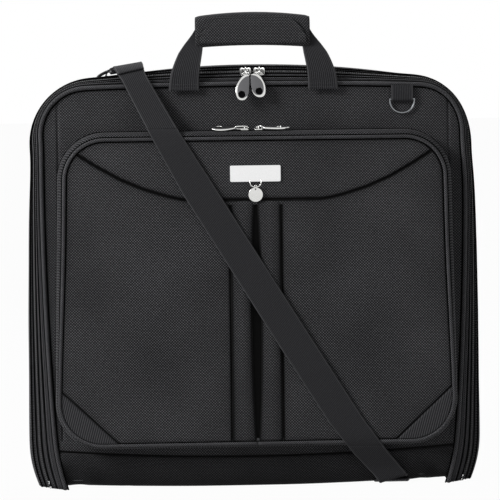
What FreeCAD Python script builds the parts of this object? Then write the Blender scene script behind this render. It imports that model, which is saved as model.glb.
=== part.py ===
"""Folding garment bag, closed and standing on its four ears.

Millimetres. X to the right, Y to the back, Z up. The origin is on the ground under the
middle of the bag. The front faces -Y.
"""
import FreeCAD
import Part
import math
import os

from FreeCAD import Vector

DRIVING_SIZES = [
    # the widest outline, seen from the front
    ("outer_foot_half", 264.5),
    ("outer_ankle_half", 273.0),
    ("outer_hip_half", 278.5),
    ("outer_waist_half", 278.5),
    ("outer_shoulder_half", 273.0),
    ("outer_shoulder_height", 405.0),
    ("outer_corner_half", 251.0),
    ("outer_corner_height", 479.0),
    ("outer_arch_half", 187.0),
    ("outer_arch_height", 504.0),
    ("outer_crown_height", 518.0),
    # the outline of the front panel
    ("panel_foot_half", 236.5),
    ("panel_ankle_half", 243.5),
    ("panel_hip_half", 249.0),
    ("panel_waist_half", 257.0),
    ("panel_shoulder_half", 260.5),
    ("panel_shoulder_height", 425.0),
    ("panel_corner_half", 246.0),
    ("panel_corner_height", 474.0),
    ("panel_arch_half", 202.0),
    ("panel_arch_height", 493.0),
    ("panel_crown_height", 496.0),
    # heights shared by both outlines
    ("foot_trim", 3.0),
    ("ankle_height", 26.0),
    ("hip_height", 58.0),
    ("waist_height", 200.0),
    # depths
    ("rear_face_depth", 44.0),
    ("widest_depth", 12.0),
    ("zip_depth", -10.0),
    ("front_face_depth", -26.0),
    ("pocket_face_depth", -50.0),
    ("zip_gap", 0.6),
    # cloth and boards
    ("cloth", 2.4),
    ("wall", 3.0),
    ("board", 3.5),
    ("piping", 5.0),
    ("coil", 2.4),
    ("fold_height", 4.0),
    ("fold_band_top", 46.0),
    ("spine_half", 235.0),
    ("side_seam_half", 238.0),
    # front pocket
    ("pocket_top", 436.0),
    ("pocket_bottom", 52.0),
    ("pocket_top_half", 238.5),
    ("pocket_low_half", 245.0),
    ("pocket_corner", 57.0),
    ("pocket_face_inset", 8.5),
    ("yoke_middle_height", 354.0),
    ("yoke_end_height", 413.0),
    ("pleat_half", 31.0),
    ("pleat_slit_half", 4.5),
    ("patch_side_height", 125.0),
    ("patch_low_half", 176.5),
    # plate and charm
    ("plate_width", 61.0),
    ("plate_height", 20.0),
    ("plate_thick", 1.8),
    ("plate_bottom", 375.5),
    ("plate_round", 1.5),
    ("charm_radius", 8.75),
    ("charm_thick", 1.3),
    ("charm_drop", 15.5),
    # zip pulls and sliders
    ("pull_length", 33.0),
    ("pull_width", 15.2),
    ("pull_thick", 2.2),
    ("slider_length", 14.0),
    ("slider_width", 12.0),
    # shoulder strap
    ("strap_width", 38.0),
    ("strap_thick", 2.4),
    ("strap_top_x", -158.0),
    ("strap_top_height", 514.5),
    ("strap_low_x", 153.0),
    ("strap_low_height", 11.0),
    # handles
    ("grip_half", 69.5),
    ("grip_bottom", 541.0),
    ("grip_top", 583.0),
    ("grip_depth", 24.0),
    ("grip_middle_depth", -14.0),
    ("leg_foot_height", 488.0),
    ("leg_outer_half", 103.0),
    ("leg_inner_half", 66.0),
    # rings
    ("d_ring_width", 32.0),
    ("d_ring_wire", 1.2),
    ("d_ring_x", 181.0),
    ("d_ring_bar_height", 473.0),
    ("ring_running_gap", 0.08),
    ("tab_width", 26.6),
    ("tab_top", 490.0),
]

doc = FreeCAD.newDocument("garment_bag")
sheet = doc.addObject("Spreadsheet::Sheet", "Sizes")
for row, (alias, value) in enumerate(DRIVING_SIZES, start=1):
    sheet.set(f"A{row}", alias.replace("_", " "))
    sheet.set(f"B{row}", str(value))
    sheet.setAlias(f"B{row}", alias)
doc.recompute()
nodes = []


def size(alias):
    """A driving dimension from the sheet."""
    return float(getattr(sheet, alias))


def keep(name, shape):
    """Add a finished shape to the document as one sub-part."""
    feature = doc.addObject("Part::Feature", name)
    feature.Label = name
    feature.Shape = shape
    feature.Placement = shape.Placement
    nodes.append(feature)
    return feature


def keep_object(name, feature):
    """Count an object that the document already builds as one sub-part."""
    feature.Label = name
    nodes.append(feature)


# ---------------------------------------------------------------- shared geometry

def point(x, depth, height):
    return Vector(x, depth, height)


def arc(start, middle, end):
    return Part.Arc(start, middle, end).toShape()


def line(start, end):
    return Part.LineSegment(start, end).toShape()


def extruded(wire, thickness):
    return Part.Face(wire).extrude(Vector(0, thickness, 0))


def polygon(corners, depth):
    """Closed wire from (x, height) corners, standing at one depth."""
    ring = [point(x, depth, height) for x, height in corners]
    return Part.makePolygon(ring + ring[:1])


def slab(corners, near, far):
    """Plate standing between two depths, with (x, height) corners."""
    return extruded(polygon(corners, near), far - near)


def box(x0, x1, y0, y1, z0, z1):
    return Part.makeBox(x1 - x0, y1 - y0, z1 - z0, Vector(x0, y0, z0))


def mirrored(shape):
    return shape.mirror(Vector(0, 0, 0), Vector(1, 0, 0))


def both_sides(shape):
    return Part.makeCompound([shape, mirrored(shape)])


def softened(shape, radius):
    return shape.makeFillet(radius, shape.Edges)


# ---------------------------------------------------------------- the bag's outline

def mixed(name, inward):
    """A size between the widest outline (inward 0) and the front panel's (inward 1)."""
    return (1 - inward) * size("outer_" + name) + inward * size("panel_" + name)


def outline(depth, inward, inset=0.0, floor=0.0):
    """Front view of the bag at one depth: floor, foot curves, sides, corners and arched top."""
    diagonal = inset * math.sqrt(0.5)
    foot = point(mixed("foot_half", inward) - inset, depth, floor)
    ankle = point(mixed("ankle_half", inward) - inset, depth, size("ankle_height"))
    hip = point(mixed("hip_half", inward) - inset, depth, size("hip_height"))
    waist = point(mixed("waist_half", inward) - inset, depth, size("waist_height"))
    shoulder = point(mixed("shoulder_half", inward) - inset, depth, mixed("shoulder_height", inward))
    corner = point(
        mixed("corner_half", inward) - diagonal, depth, mixed("corner_height", inward) - diagonal
    )
    arch = point(mixed("arch_half", inward), depth, mixed("arch_height", inward) - inset)
    crown = point(0, depth, mixed("crown_height", inward) - inset)

    def left(place):
        return Vector(-place.x, place.y, place.z)

    edges = [
        line(left(foot), foot),
        arc(foot, ankle, hip),
        arc(hip, waist, shoulder),
        arc(shoulder, corner, arch),
        arc(arch, crown, left(arch)),
        arc(left(arch), left(corner), left(shoulder)),
        arc(left(shoulder), left(waist), left(hip)),
        arc(left(hip), left(ankle), left(foot)),
    ]
    return Part.Wire(edges)


def loft(wires):
    return Part.makeLoft(wires, True, True)


def open_shell(levels, thickness):
    """Wall along the outline through (depth, inward, inset) levels, open at front, back and floor."""
    below_floor = size("foot_trim")
    outer = loft([outline(depth, inward, inset, -below_floor) for depth, inward, inset in levels])
    first, last = levels[0], levels[-1]
    reach = 1.0 if last[0] > first[0] else -1.0
    longer = [(first[0] - reach, first[1], first[2])] + list(levels)
    longer.append((last[0] + reach, last[1], last[2]))
    inner = loft(
        [outline(depth, inward, inset + thickness, -2 * below_floor) for depth, inward, inset in longer]
    )
    return outer.cut(inner).cut(box(-400, 400, -120, 120, -below_floor - 5, 0))


def outline_plate(near, far, inward, inset, floor):
    """Flat plate of the bag's outline between two depths, cut off level at its floor."""
    plate = extruded(outline(near, inward, inset, 0.0), far - near)
    below = box(-400, 400, near - 1, far + 1, -10, floor)
    return plate.cut(below)


def piping_ring(depth, inward):
    """Corded edge along the outline, with bevelled sides."""
    half = size("piping") / 2
    bevel = half * 0.45
    levels = [
        (depth - half, inward, bevel),
        (depth - half + bevel, inward, 0.0),
        (depth + half - bevel, inward, 0.0),
        (depth + half, inward, bevel),
    ]
    return open_shell(levels, size("piping"))


# ---------------------------------------------------------------- rear half

REAR_INWARD = 0.5
ZIP_INWARD = 0.45
TAPE_REACH = 8.0
TAPE_INWARD = 0.18

rear_face = size("rear_face_depth")
zip_depth = size("zip_depth")
front_face = size("front_face_depth")
cloth = size("cloth")
wall = size("wall")
coil = size("coil")
gap = size("zip_gap")
fold_height = size("fold_height")

rear_wall_end = rear_face - cloth
tape_end = zip_depth + TAPE_REACH

rear_levels = [
    (tape_end, TAPE_INWARD, 0.0),
    (size("widest_depth"), 0.0, 0.0),
    (rear_wall_end, REAR_INWARD, 0.0),
]
keep("rear_gusset", open_shell(rear_levels, wall))

rear_coil_near = zip_depth + gap
rear_tape_levels = [(rear_coil_near + coil, ZIP_INWARD, 0.0), (tape_end, TAPE_INWARD, 0.0)]
keep("rear_zip_tape", open_shell(rear_tape_levels, 1.6))
rear_coil_levels = [
    (rear_coil_near, ZIP_INWARD, -0.8),
    (rear_coil_near + coil, ZIP_INWARD, -0.8),
]
keep("rear_zip_coil", open_shell(rear_coil_levels, coil + 0.8))

keep("rear_panel", outline_plate(rear_wall_end, rear_face, REAR_INWARD, 3.2, fold_height + 4))
rear_piping = piping_ring(rear_face + 0.6, REAR_INWARD + 0.03)
inside_of_seam = open_shell(
    [(rear_face - 12, REAR_INWARD, -6.0), (rear_wall_end, REAR_INWARD, -6.0)], 12.0
)
panel_clearance = extruded(outline(rear_face - 8, REAR_INWARD, 2.7, -5.0), 20.0)
keep("rear_piping", rear_piping.cut(inside_of_seam).cut(panel_clearance))

board_far = rear_wall_end
board_near = board_far - size("board")
keep("rear_board", outline_plate(board_near, board_far, REAR_INWARD, 9.0, 14.0))
keep("rear_lining", outline_plate(board_near - 1.0, board_near, REAR_INWARD, 8.0, 12.0))

# ---------------------------------------------------------------- fold

spine_near = front_face + cloth + 0.8
spine_far = rear_wall_end - 0.6
spine = doc.addObject("Part::Box", "spine_band")
spine.setExpression("Length", "Sizes.spine_half * 2")
spine.setExpression("Width", "Sizes.rear_face_depth - Sizes.front_face_depth - Sizes.cloth * 2 - 1.4")
spine.setExpression("Height", "Sizes.cloth + 0.6")
spine.Placement = FreeCAD.Placement(
    point(-size("spine_half"), spine_near, fold_height), FreeCAD.Rotation()
)
keep_object("spine_band", spine)

# ---------------------------------------------------------------- front half

front_wall_end = front_face + cloth
front_coil_far = zip_depth - gap
front_tape_levels = [(front_wall_end, 0.97, 0.0), (front_coil_far - coil, ZIP_INWARD, 0.0)]
keep("front_zip_tape", open_shell(front_tape_levels, 2.0))
front_coil_levels = [
    (front_coil_far - coil, ZIP_INWARD, -0.8),
    (front_coil_far, ZIP_INWARD, -0.8),
]
keep("front_zip_coil", open_shell(front_coil_levels, coil + 0.8))

front_plate = outline_plate(front_face, front_wall_end, 1.0, 3.2, fold_height + 1)
side_seam = size("side_seam_half")
band_top = size("fold_band_top")
low_band_space = box(-400, 400, front_face - 1, front_wall_end + 1, 0, band_top)
middle_space = box(-side_seam, side_seam, front_face - 1, front_wall_end + 1, band_top, 600)
side_space = box(side_seam, 400, front_face - 1, front_wall_end + 1, band_top, 600)
keep("front_fold_band", front_plate.common(low_band_space))
keep("front_panel", front_plate.common(middle_space))
keep("front_side_strips", both_sides(front_plate.common(side_space)))

front_piping = piping_ring(front_face - 0.4, 0.97)
tape_clearance = extruded(outline(front_wall_end - 0.01, 0.97, -6.0, -5.0), 10.0)
front_clearance = extruded(outline(front_face - 8, 1.0, 2.7, -5.0), 20.0)
keep("front_piping", front_piping.cut(tape_clearance).cut(front_clearance))

front_board_far = front_wall_end + size("board")
keep("front_board", outline_plate(front_wall_end, front_board_far, 1.0, 9.0, 14.0))
keep("front_lining", outline_plate(front_board_far, front_board_far + 1.0, 1.0, 8.0, 12.0))
MESH_HALF = 205.0
MESH_LOW = 70.0
MESH_HIGH = 300.0
mesh_near, mesh_far = front_board_far + 1.0, front_board_far + 2.6
keep("mesh_pocket", box(-MESH_HALF, MESH_HALF, mesh_near, mesh_far, MESH_LOW, MESH_HIGH))

# ---------------------------------------------------------------- front pocket

pocket_face = size("pocket_face_depth")
pocket_top = size("pocket_top")
pocket_bottom = size("pocket_bottom")
face_inset = size("pocket_face_inset")


def pocket_outline(depth, inset):
    """Rounded pocket outline that widens towards its foot."""
    bend = size("pocket_corner") - inset
    cut = bend * (1 - math.sqrt(0.5))
    top_half = size("pocket_top_half") - inset
    low_half = size("pocket_low_half") - inset
    top = pocket_top - inset
    low = pocket_bottom + inset

    def place(side, x, height):
        return point(side * x, depth, height)

    right = [
        place(1, low_half - bend, low),
        place(1, low_half - cut, low + cut),
        place(1, low_half, low + bend),
        place(1, top_half, top - bend),
        place(1, top_half - cut, top - cut),
        place(1, top_half - bend, top),
    ]
    left = [Vector(-spot.x, spot.y, spot.z) for spot in right]
    edges = [
        line(left[0], right[0]),
        arc(right[0], right[1], right[2]),
        line(right[2], right[3]),
        arc(right[3], right[4], right[5]),
        line(right[5], left[5]),
        arc(left[5], left[4], left[3]),
        line(left[3], left[2]),
        arc(left[2], left[1], left[0]),
    ]
    return Part.Wire(edges)


def pocket_ring(levels, thickness):
    """Wall along the pocket's outline through (depth, inset) levels."""
    outer = loft([pocket_outline(depth, inset) for depth, inset in levels])
    first, last = levels[0], levels[-1]
    longer = [(first[0] + 1, first[1])] + list(levels) + [(last[0] - 1, last[1])]
    inner = loft([pocket_outline(depth, inset + thickness) for depth, inset in longer])
    return outer.cut(inner)


pocket_root = front_face - 0.4
pocket_split = front_face - 8.0
coil_far = pocket_split - gap / 2
coil_near = coil_far - coil
face_back = pocket_face + cloth
zip_end_height = size("patch_side_height") + 25

tape_ring = pocket_ring([(front_face, 0.0), (pocket_split, 1.2)], 1.6)
above_zip_end = box(-400, 400, -80, 0, zip_end_height, 600)
keep("pocket_base_tape", tape_ring.common(above_zip_end))

upper_wall = pocket_ring([(coil_near, 1.6), (face_back, face_inset)], wall)
foot_wall = pocket_ring([(pocket_root, 0.0), (coil_near, 1.6)], wall)
below_zip_end = box(-400, 400, -80, 0, 0, zip_end_height - 0.6)
keep("pocket_gusset", upper_wall.fuse(foot_wall.common(below_zip_end)))
coil_ring = pocket_ring([(coil_far, 0.6), (coil_near, 0.6)], coil)
keep("pocket_zip_coil", coil_ring.common(above_zip_end))

PIPING_BEVEL = 1.1
piping_levels = [
    (face_back, face_inset - 2.0),
    (face_back - PIPING_BEVEL, face_inset - 3.0),
    (pocket_face + PIPING_BEVEL, face_inset - 3.0),
    (pocket_face - 0.8, face_inset - 2.0),
]
keep("pocket_piping", pocket_ring(piping_levels, 4.4))

face_plate = extruded(pocket_outline(face_back, face_inset + 2.6), pocket_face - face_back)
lining_outline = pocket_outline(face_back + 1.2, face_inset + wall + 0.6)
keep("pocket_lining", extruded(lining_outline, -1.2))


def standing(wire):
    """Tool as deep as the pocket's face, from a wire drawn in front of it."""
    return extruded(wire, face_back - pocket_face + 4)


tool_depth = pocket_face - 2
yoke_low = size("yoke_middle_height")
yoke_high = size("yoke_end_height")
YOKE_FLAT_HALF = 80.0
YOKE_REACH = 260.0
yoke_curve_middle = (170.0, 378.0)
flat_left = point(-YOKE_FLAT_HALF, tool_depth, yoke_low)
flat_right = point(YOKE_FLAT_HALF, tool_depth, yoke_low)
reach_left = point(-YOKE_REACH, tool_depth, yoke_high + 22)
reach_right = point(YOKE_REACH, tool_depth, yoke_high + 22)
sky_left = point(-YOKE_REACH, tool_depth, 600)
sky_right = point(YOKE_REACH, tool_depth, 600)
yoke_edges = [
    line(flat_left, flat_right),
    arc(flat_right, point(yoke_curve_middle[0], tool_depth, yoke_curve_middle[1]), reach_right),
    line(reach_right, sky_right),
    line(sky_right, sky_left),
    line(sky_left, reach_left),
    arc(reach_left, point(-yoke_curve_middle[0], tool_depth, yoke_curve_middle[1]), flat_left),
]
yoke_tool = standing(Part.Wire(yoke_edges))
keep("pocket_yoke", face_plate.common(yoke_tool))

patch_side = (size("pocket_low_half") - 4, size("patch_side_height"))
patch_foot = (size("patch_low_half"), 60.5)
run = patch_foot[0] - patch_side[0]
drop = patch_foot[1] - patch_side[1]
patch_corners = [
    (patch_side[0] - run, patch_side[1] - drop),
    (patch_foot[0] + run, patch_foot[1] + drop),
    (patch_side[0] - run, patch_foot[1] + drop),
]
patch_tool = standing(polygon(patch_corners, tool_depth))
keep("corner_patches", both_sides(face_plate.common(patch_tool)))

pleat_half = size("pleat_half")
middle_tool = box(-pleat_half, pleat_half, tool_depth, face_back + 1, 0, yoke_low)
rest_of_face = face_plate.cut(yoke_tool).cut(both_sides(patch_tool)).cut(middle_tool)
keep("pocket_panels", rest_of_face)

middle_face = face_plate.common(middle_tool)
pleat_back_near = pocket_face + 1.4
pleat_back_tool = box(-pleat_half, pleat_half, pleat_back_near, face_back, 0, 600)
keep("pleat_backing", middle_face.common(pleat_back_tool))
slit_half = size("pleat_slit_half")
PLEAT_FOOT = 64.0
PLEAT_LIFT = 1.6
pleat_near = pocket_face - PLEAT_LIFT
pleat_wire = Part.Wire([
    line(point(1.0, pleat_near, PLEAT_FOOT), point(pleat_half - 0.4, pleat_near, PLEAT_FOOT)),
    line(
        point(pleat_half - 0.4, pleat_near, PLEAT_FOOT),
        point(pleat_half - 0.4, pleat_near, yoke_low - 0.4),
    ),
    line(point(pleat_half - 0.4, pleat_near, yoke_low - 0.4), point(1.0, pleat_near, yoke_low - 0.4)),
    arc(
        point(1.0, pleat_near, yoke_low - 0.4),
        point(slit_half, pleat_near, (PLEAT_FOOT + yoke_low) / 2),
        point(1.0, pleat_near, PLEAT_FOOT),
    ),
])
keep("pleats", both_sides(extruded(pleat_wire, pleat_back_near - pleat_near)))

# ---------------------------------------------------------------- name plate and charm

plate_body = doc.addObject("PartDesign::Body", "name_plate")
plate_sketch = plate_body.newObject("Sketcher::SketchObject", "plate_outline")
xz_plane = [item for item in plate_body.Origin.OriginFeatures if item.Role == "XZ_Plane"][0]
plate_sketch.AttachmentSupport = [(xz_plane, "")]
plate_sketch.MapMode = "FlatFace"
half_w = size("plate_width") / 2
plate_low = size("plate_bottom")
plate_high = plate_low + size("plate_height")
plate_corners = [
    Vector(-half_w, plate_low, 0),
    Vector(half_w, plate_low, 0),
    Vector(half_w, plate_high, 0),
    Vector(-half_w, plate_high, 0),
]
for index in range(4):
    plate_sketch.addGeometry(
        Part.LineSegment(plate_corners[index], plate_corners[(index + 1) % 4]), False
    )
plate_pad = plate_body.newObject("PartDesign::Pad", "plate_pad")
plate_pad.Profile = plate_sketch
plate_pad.setExpression("Length", "Sizes.plate_thick")
doc.recompute()
plate_fillet = plate_body.newObject("PartDesign::Fillet", "plate_corners")
upright = [
    f"Edge{number}"
    for number, edge in enumerate(plate_pad.Shape.Edges, start=1)
    if abs(edge.tangentAt(edge.FirstParameter).y) > 0.9
]
plate_fillet.Base = (plate_pad, upright)
plate_fillet.setExpression("Radius", "Sizes.plate_round")
plate_body.Tip = plate_fillet
PLATE_STANDOFF = 0.1
plate_front_push = pocket_face - PLATE_STANDOFF
doc.recompute()
plate_shift = plate_front_push - plate_body.Shape.BoundBox.YMax
plate_body.Placement = FreeCAD.Placement(Vector(0, plate_shift, 0), FreeCAD.Rotation())
keep_object("name_plate", plate_body)

charm_depth = plate_front_push - size("plate_thick") - 0.5 - size("charm_thick")
BAIL_HALF = 6.5
BAIL_WIRE = 1.4
bail_top = plate_low + 1.2
disc_middle = plate_low - size("charm_drop")
bail_low = disc_middle + size("charm_radius") - 1.0
bail_corners = [
    (-BAIL_HALF, bail_top),
    (-BAIL_HALF + 1.8, bail_top),
    (0.0, bail_low + 2.2),
    (BAIL_HALF - 1.8, bail_top),
    (BAIL_HALF, bail_top),
    (0.9, bail_low - 0.6),
    (-0.9, bail_low - 0.6),
]
bail = slab(bail_corners, charm_depth, charm_depth + BAIL_WIRE)
disc = Part.makeCylinder(
    size("charm_radius"), size("charm_thick"), point(0, charm_depth, disc_middle), Vector(0, 1, 0)
)
eye = Part.makeCylinder(
    0.9, 6.0, point(0, charm_depth - 2, disc_middle + size("charm_radius") - 2.6), Vector(0, 1, 0)
)
keep("charm", bail.fuse(disc).cut(eye))

# ---------------------------------------------------------------- zip sliders and pulls

pull_length = size("pull_length")
pull_width = size("pull_width")
pull_thick = size("pull_thick")


def pull_shape():
    """Teardrop pull hanging from the origin, standing in the XZ plane, with a hole near its foot."""
    half = pull_width / 2
    start = Vector(-2.6, 0, 0)
    wire = Part.Wire([
        line(start, Vector(2.6, 0, 0)),
        arc(Vector(2.6, 0, 0), Vector(half, 0, -pull_length * 0.62), Vector(0, 0, -pull_length)),
        arc(Vector(0, 0, -pull_length), Vector(-half, 0, -pull_length * 0.62), start),
    ])
    body = Part.Face(wire).extrude(Vector(0, pull_thick, 0))
    hole = Part.makeCylinder(4.0, 10, Vector(0, -4, -pull_length * 0.66), Vector(0, 1, 0))
    eye_hole = Part.makeCylinder(1.3, 10, Vector(-5, pull_thick / 2, -2.4), Vector(1, 0, 0))
    return body.cut(hole).cut(eye_hole)


def turned(shape, axis, degrees, shift):
    copy = shape.copy()
    copy.rotate(Vector(0, 0, 0), axis, degrees)
    copy.translate(shift)
    return copy


slider_length = size("slider_length")
slider_width = size("slider_width")
zip_top = mixed("crown_height", ZIP_INWARD)
SLIDER_LIFT = 2.0
slider_floor = zip_top + SLIDER_LIFT
SLIDER_PLATE = 1.8
main_slider_x = 8.5
LEAN = 15.0
SPLAY = 12.0
pull_root_depth = front_face - 1.6
for side, name in ((-1, "left"), (1, "right")):
    middle = side * main_slider_x
    crown = softened(
        box(
            middle - slider_length / 2, middle + slider_length / 2,
            zip_depth - slider_width / 2, zip_depth + slider_width / 2 - 2,
            slider_floor, slider_floor + SLIDER_PLATE,
        ), 0.6)
    bridge_low = slider_floor + SLIDER_PLATE - 0.4
    bridge = box(middle - 2.2, middle + 2.2, zip_depth - 5.6, zip_depth + 1.5, bridge_low, bridge_low + 3.4)
    slot = box(middle - 3, middle + 3, zip_depth - 4.0, zip_depth, bridge_low + 0.8, bridge_low + 2.2)
    link_x = middle - side * 2.3
    link = box(
        link_x - 1.6, link_x + 1.6, pull_root_depth + 1.8, zip_depth - slider_width / 2 + 0.4,
        slider_floor, slider_floor + SLIDER_PLATE - 0.4,
    )
    keep("main_slider_" + name, crown.fuse(bridge.cut(slot)).fuse(link))
    hanging = pull_shape()
    hanging.rotate(Vector(0, 0, 0), Vector(0, 1, 0), -side * SPLAY)
    hanging.rotate(Vector(0, 0, 0), Vector(1, 0, 0), -LEAN)
    hanging.translate(point(link_x, pull_root_depth - pull_thick, slider_floor + 1.0))
    keep("main_pull_" + name, hanging)

pocket_slider_floor = pocket_top + 0.8
pocket_slider_depth = (coil_far + coil_near) / 2
POCKET_SLIDER_SHIFT = -5.0
POCKET_PULL_REACH = 7.6
LINK_GAP = 0.9
for side, name in ((-1, "left"), (1, "right")):
    middle = side * main_slider_x + POCKET_SLIDER_SHIFT
    crown = softened(
        box(
            middle - slider_length / 2 + 1, middle + slider_length / 2 - 1,
            pocket_slider_depth - 5, pocket_slider_depth + 4,
            pocket_slider_floor, pocket_slider_floor + SLIDER_PLATE,
        ), 0.6)
    knob_ends = sorted((middle - side * 2.5, middle + side * (POCKET_PULL_REACH - LINK_GAP)))
    knob = box(
        knob_ends[0], knob_ends[1], pocket_slider_depth - 2.6, pocket_slider_depth + 2.6,
        pocket_slider_floor + SLIDER_PLATE - 0.4, pocket_slider_floor + SLIDER_PLATE + 2.6,
    )
    keep("pocket_slider_" + name, crown.fuse(knob))
    flat = pull_shape()
    flat.rotate(Vector(0, 0, 0), Vector(1, 0, 0), 90)
    flat.rotate(Vector(0, 0, 0), Vector(0, 0, 1), -side * 90)
    flat.translate(point(middle + side * POCKET_PULL_REACH, pocket_slider_depth, pocket_slider_floor + SLIDER_PLATE + 1.4))
    keep("pocket_pull_" + name, flat)

# ---------------------------------------------------------------- D-rings and tabs

ring_wire = size("d_ring_wire")
ring_width = size("d_ring_width")
ring_bar = size("d_ring_bar_height")
tab_half = size("tab_width") / 2
RING_DROP = 19.0


def d_ring(x, depth, bar_height, way):
    """Round wire bent to a D: a straight bar and a bow that reaches down (way -1) or up (1)."""
    half = ring_width / 2 - ring_wire
    bow_start = bar_height + way * 4.0
    bow_end = bar_height + way * (RING_DROP - 2 * ring_wire)
    spots = [
        point(x - half, depth, bar_height),
        point(x - half, depth, bow_start),
        point(x, depth, bow_end),
        point(x + half, depth, bow_start),
        point(x + half, depth, bar_height),
    ]
    path = Part.Wire([line(spots[0], spots[1]), arc(spots[1], spots[2], spots[3]), line(spots[3], spots[4])])
    profile = Part.Wire(Part.makeCircle(ring_wire, spots[0], Vector(0, 0, 1)))
    bow = path.makePipeShell([profile], True, False, 2)
    bar = Part.makeCylinder(ring_wire, 2 * half + 2, point(x - half - 1, depth, bar_height), Vector(1, 0, 0))
    return bow.fuse(bar)


def d_tab(x, near, far, bar_depth, bar_height, end, way):
    """Webbing tab folded round the ring's bar, with a running fit."""
    low, high = sorted((bar_height - way * 3.2, end))
    block = box(x - tab_half, x + tab_half, near, far, low, high)
    bore = Part.makeCylinder(
        ring_wire + size("ring_running_gap"), 60, point(x - 30, bar_depth, bar_height), Vector(1, 0, 0)
    )
    return block.cut(bore)


front_bar_depth = front_face - 3.4
keep("front_d_ring", d_ring(size("d_ring_x"), front_bar_depth, ring_bar, -1))
keep(
    "front_d_tab",
    d_tab(size("d_ring_x"), front_face - 6.4, front_face, front_bar_depth, ring_bar, size("tab_top"), 1),
)

rear_ring_x = -185.0
rear_bar_depth = rear_face + 5.2
rear_bar_height = 486.0
keep("rear_d_ring", d_ring(rear_ring_x, rear_bar_depth, rear_bar_height, 1))
keep(
    "rear_d_tab",
    d_tab(rear_ring_x, rear_face, rear_face + 8.2, rear_bar_depth, rear_bar_height, 462.0, -1),
)

# ---------------------------------------------------------------- shoulder strap

strap_thick = size("strap_thick")
strap_half = size("strap_width") / 2
strap_top = Vector(size("strap_top_x"), 0, size("strap_top_height"))
strap_low = Vector(size("strap_low_x"), 0, size("strap_low_height"))


def band(start, end, extra):
    """Slanting band of the strap's width seen from the front, as deep as the whole bag."""
    along = end.sub(start)
    along.normalize()
    across = Vector(-along.z, 0, along.x).multiply(strap_half)
    first = start.sub(along * extra)
    last = end.add(along * extra)
    corners = [first.add(across), last.add(across), last.sub(across), first.sub(across)]
    return slab([(corner.x, corner.z) for corner in corners], -120, 120)


def offset_corner(before, here, after, distance):
    """The place beside a bend where two parallel lines at one distance meet."""
    def normal(start, end):
        run_y, run_z = end[0] - start[0], end[1] - start[1]
        length = math.hypot(run_y, run_z)
        return (-run_z / length, run_y / length)

    first = normal(before, here) if before else normal(here, after)
    second = normal(here, after) if after else first
    share = distance / (1 + first[0] * second[0] + first[1] * second[1])
    return (here[0] + (first[0] + second[0]) * share, here[1] + (first[1] + second[1]) * share)


def side_profile(path, thickness):
    """Layer of one thickness along a (depth, height) path, as wide as the whole bag."""
    last = len(path) - 1
    away = []
    for index, here in enumerate(path):
        before = path[index - 1] if index > 0 else None
        after = path[index + 1] if index < last else None
        away.append(offset_corner(before, here, after, thickness))
    ring = [Vector(-400, depth, height) for depth, height in path + away[::-1]]
    face = Part.Face(Part.makePolygon(ring + ring[:1]))
    return face.extrude(Vector(800, 0, 0))


strap_band = band(strap_top, strap_low, 40.0)
over_piping = front_face - 4.6
on_pocket = pocket_face - PLEAT_LIFT - 0.8
leave_pocket_top = pocket_top + 4
lower_gap = pocket_bottom - 0.2
strap_path = [
    (-4.0, 517.2), (-17.0, 510.6), (over_piping, 499.5), (on_pocket, 433.0), (on_pocket, 58.0),
    (over_piping - 1.0, 24.0), (over_piping, 4.4),
]
front_strap = strap_band.common(side_profile(strap_path, -strap_thick))
STRAP_CUT = 0.4
for name, low, high in (
    ("strap_upper_run", leave_pocket_top + STRAP_CUT, 600.0),
    ("strap_front_run", lower_gap, leave_pocket_top),
    ("strap_lower_run", 0.0, lower_gap - STRAP_CUT),
):
    keep(name, front_strap.common(box(-400, 400, -120, 120, low, high)))

UNDER_SHIFT = 11.0
UNDER_HALF = 22.0
under_x = size("strap_low_x") + UNDER_SHIFT
back_start = Vector(under_x, 0, 0)
back_end = Vector(-158.0, 0, 430.0)
back_band = band(back_start, back_end, 12.0)
back_depth = rear_face + 3.4
back_path = [(back_depth, 4.6), (back_depth, 440.0)]
back_run = back_band.common(side_profile(back_path, -strap_thick))
keep("strap_back_run", back_run)
under = box(-400, 400, front_face + 0.6, rear_face + 0.6, 1.0, 1.0 + strap_thick)
under_left, under_right = under_x - UNDER_HALF, under_x + UNDER_HALF
under_corners = [(under_left, -5.0), (under_right, -5.0), (under_right, 10.0), (under_left, 10.0)]
keep("strap_under", under.common(slab(under_corners, -120, 120)))


# ---------------------------------------------------------------- snap hooks and adjuster

def snap_hook(start, end, outward, width):
    """Snap hook: a bar for the webbing at its start, and a hooked nose that lies flat at its end."""
    along = end.sub(start)
    length = along.Length
    frame = Part.makeBox(6.0, width, 3.2, Vector(0, -width / 2, -1.6))
    stem = Part.makeBox(length - 22, 8.0, 5.0, Vector(5.0, -4.0, -2.5))
    nose_ring = Part.makeTorus(8.0, 2.0, Vector(length - 11, 0, 0), Vector(0, 0, 1))
    mouth = Part.makeBox(7.0, 3.2, 6.0, Vector(length - 8.0, 3.0, -3.0))
    hook = frame.fuse(stem).fuse(nose_ring).cut(mouth)
    turn = FreeCAD.Rotation(along, outward.cross(along), outward, "XZY")
    hook.Placement = FreeCAD.Placement(start, turn)
    return hook


upper_start = point(-157.0, 2.9, 519.6)
upper_end = point(-184.0, rear_face + 7.0, 507.0)
keep("upper_snap_hook", snap_hook(upper_start, upper_end, Vector(0, 0.2, 1), strap_half * 2 + 6))
lower_start = point(-165.5, rear_face + 11.0, 441.0)
lower_end = point(-184.0, rear_face + 13.0, 500.0)
keep("lower_snap_hook", snap_hook(lower_start, lower_end, Vector(0, 1, 0), strap_half * 2 + 6))

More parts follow.
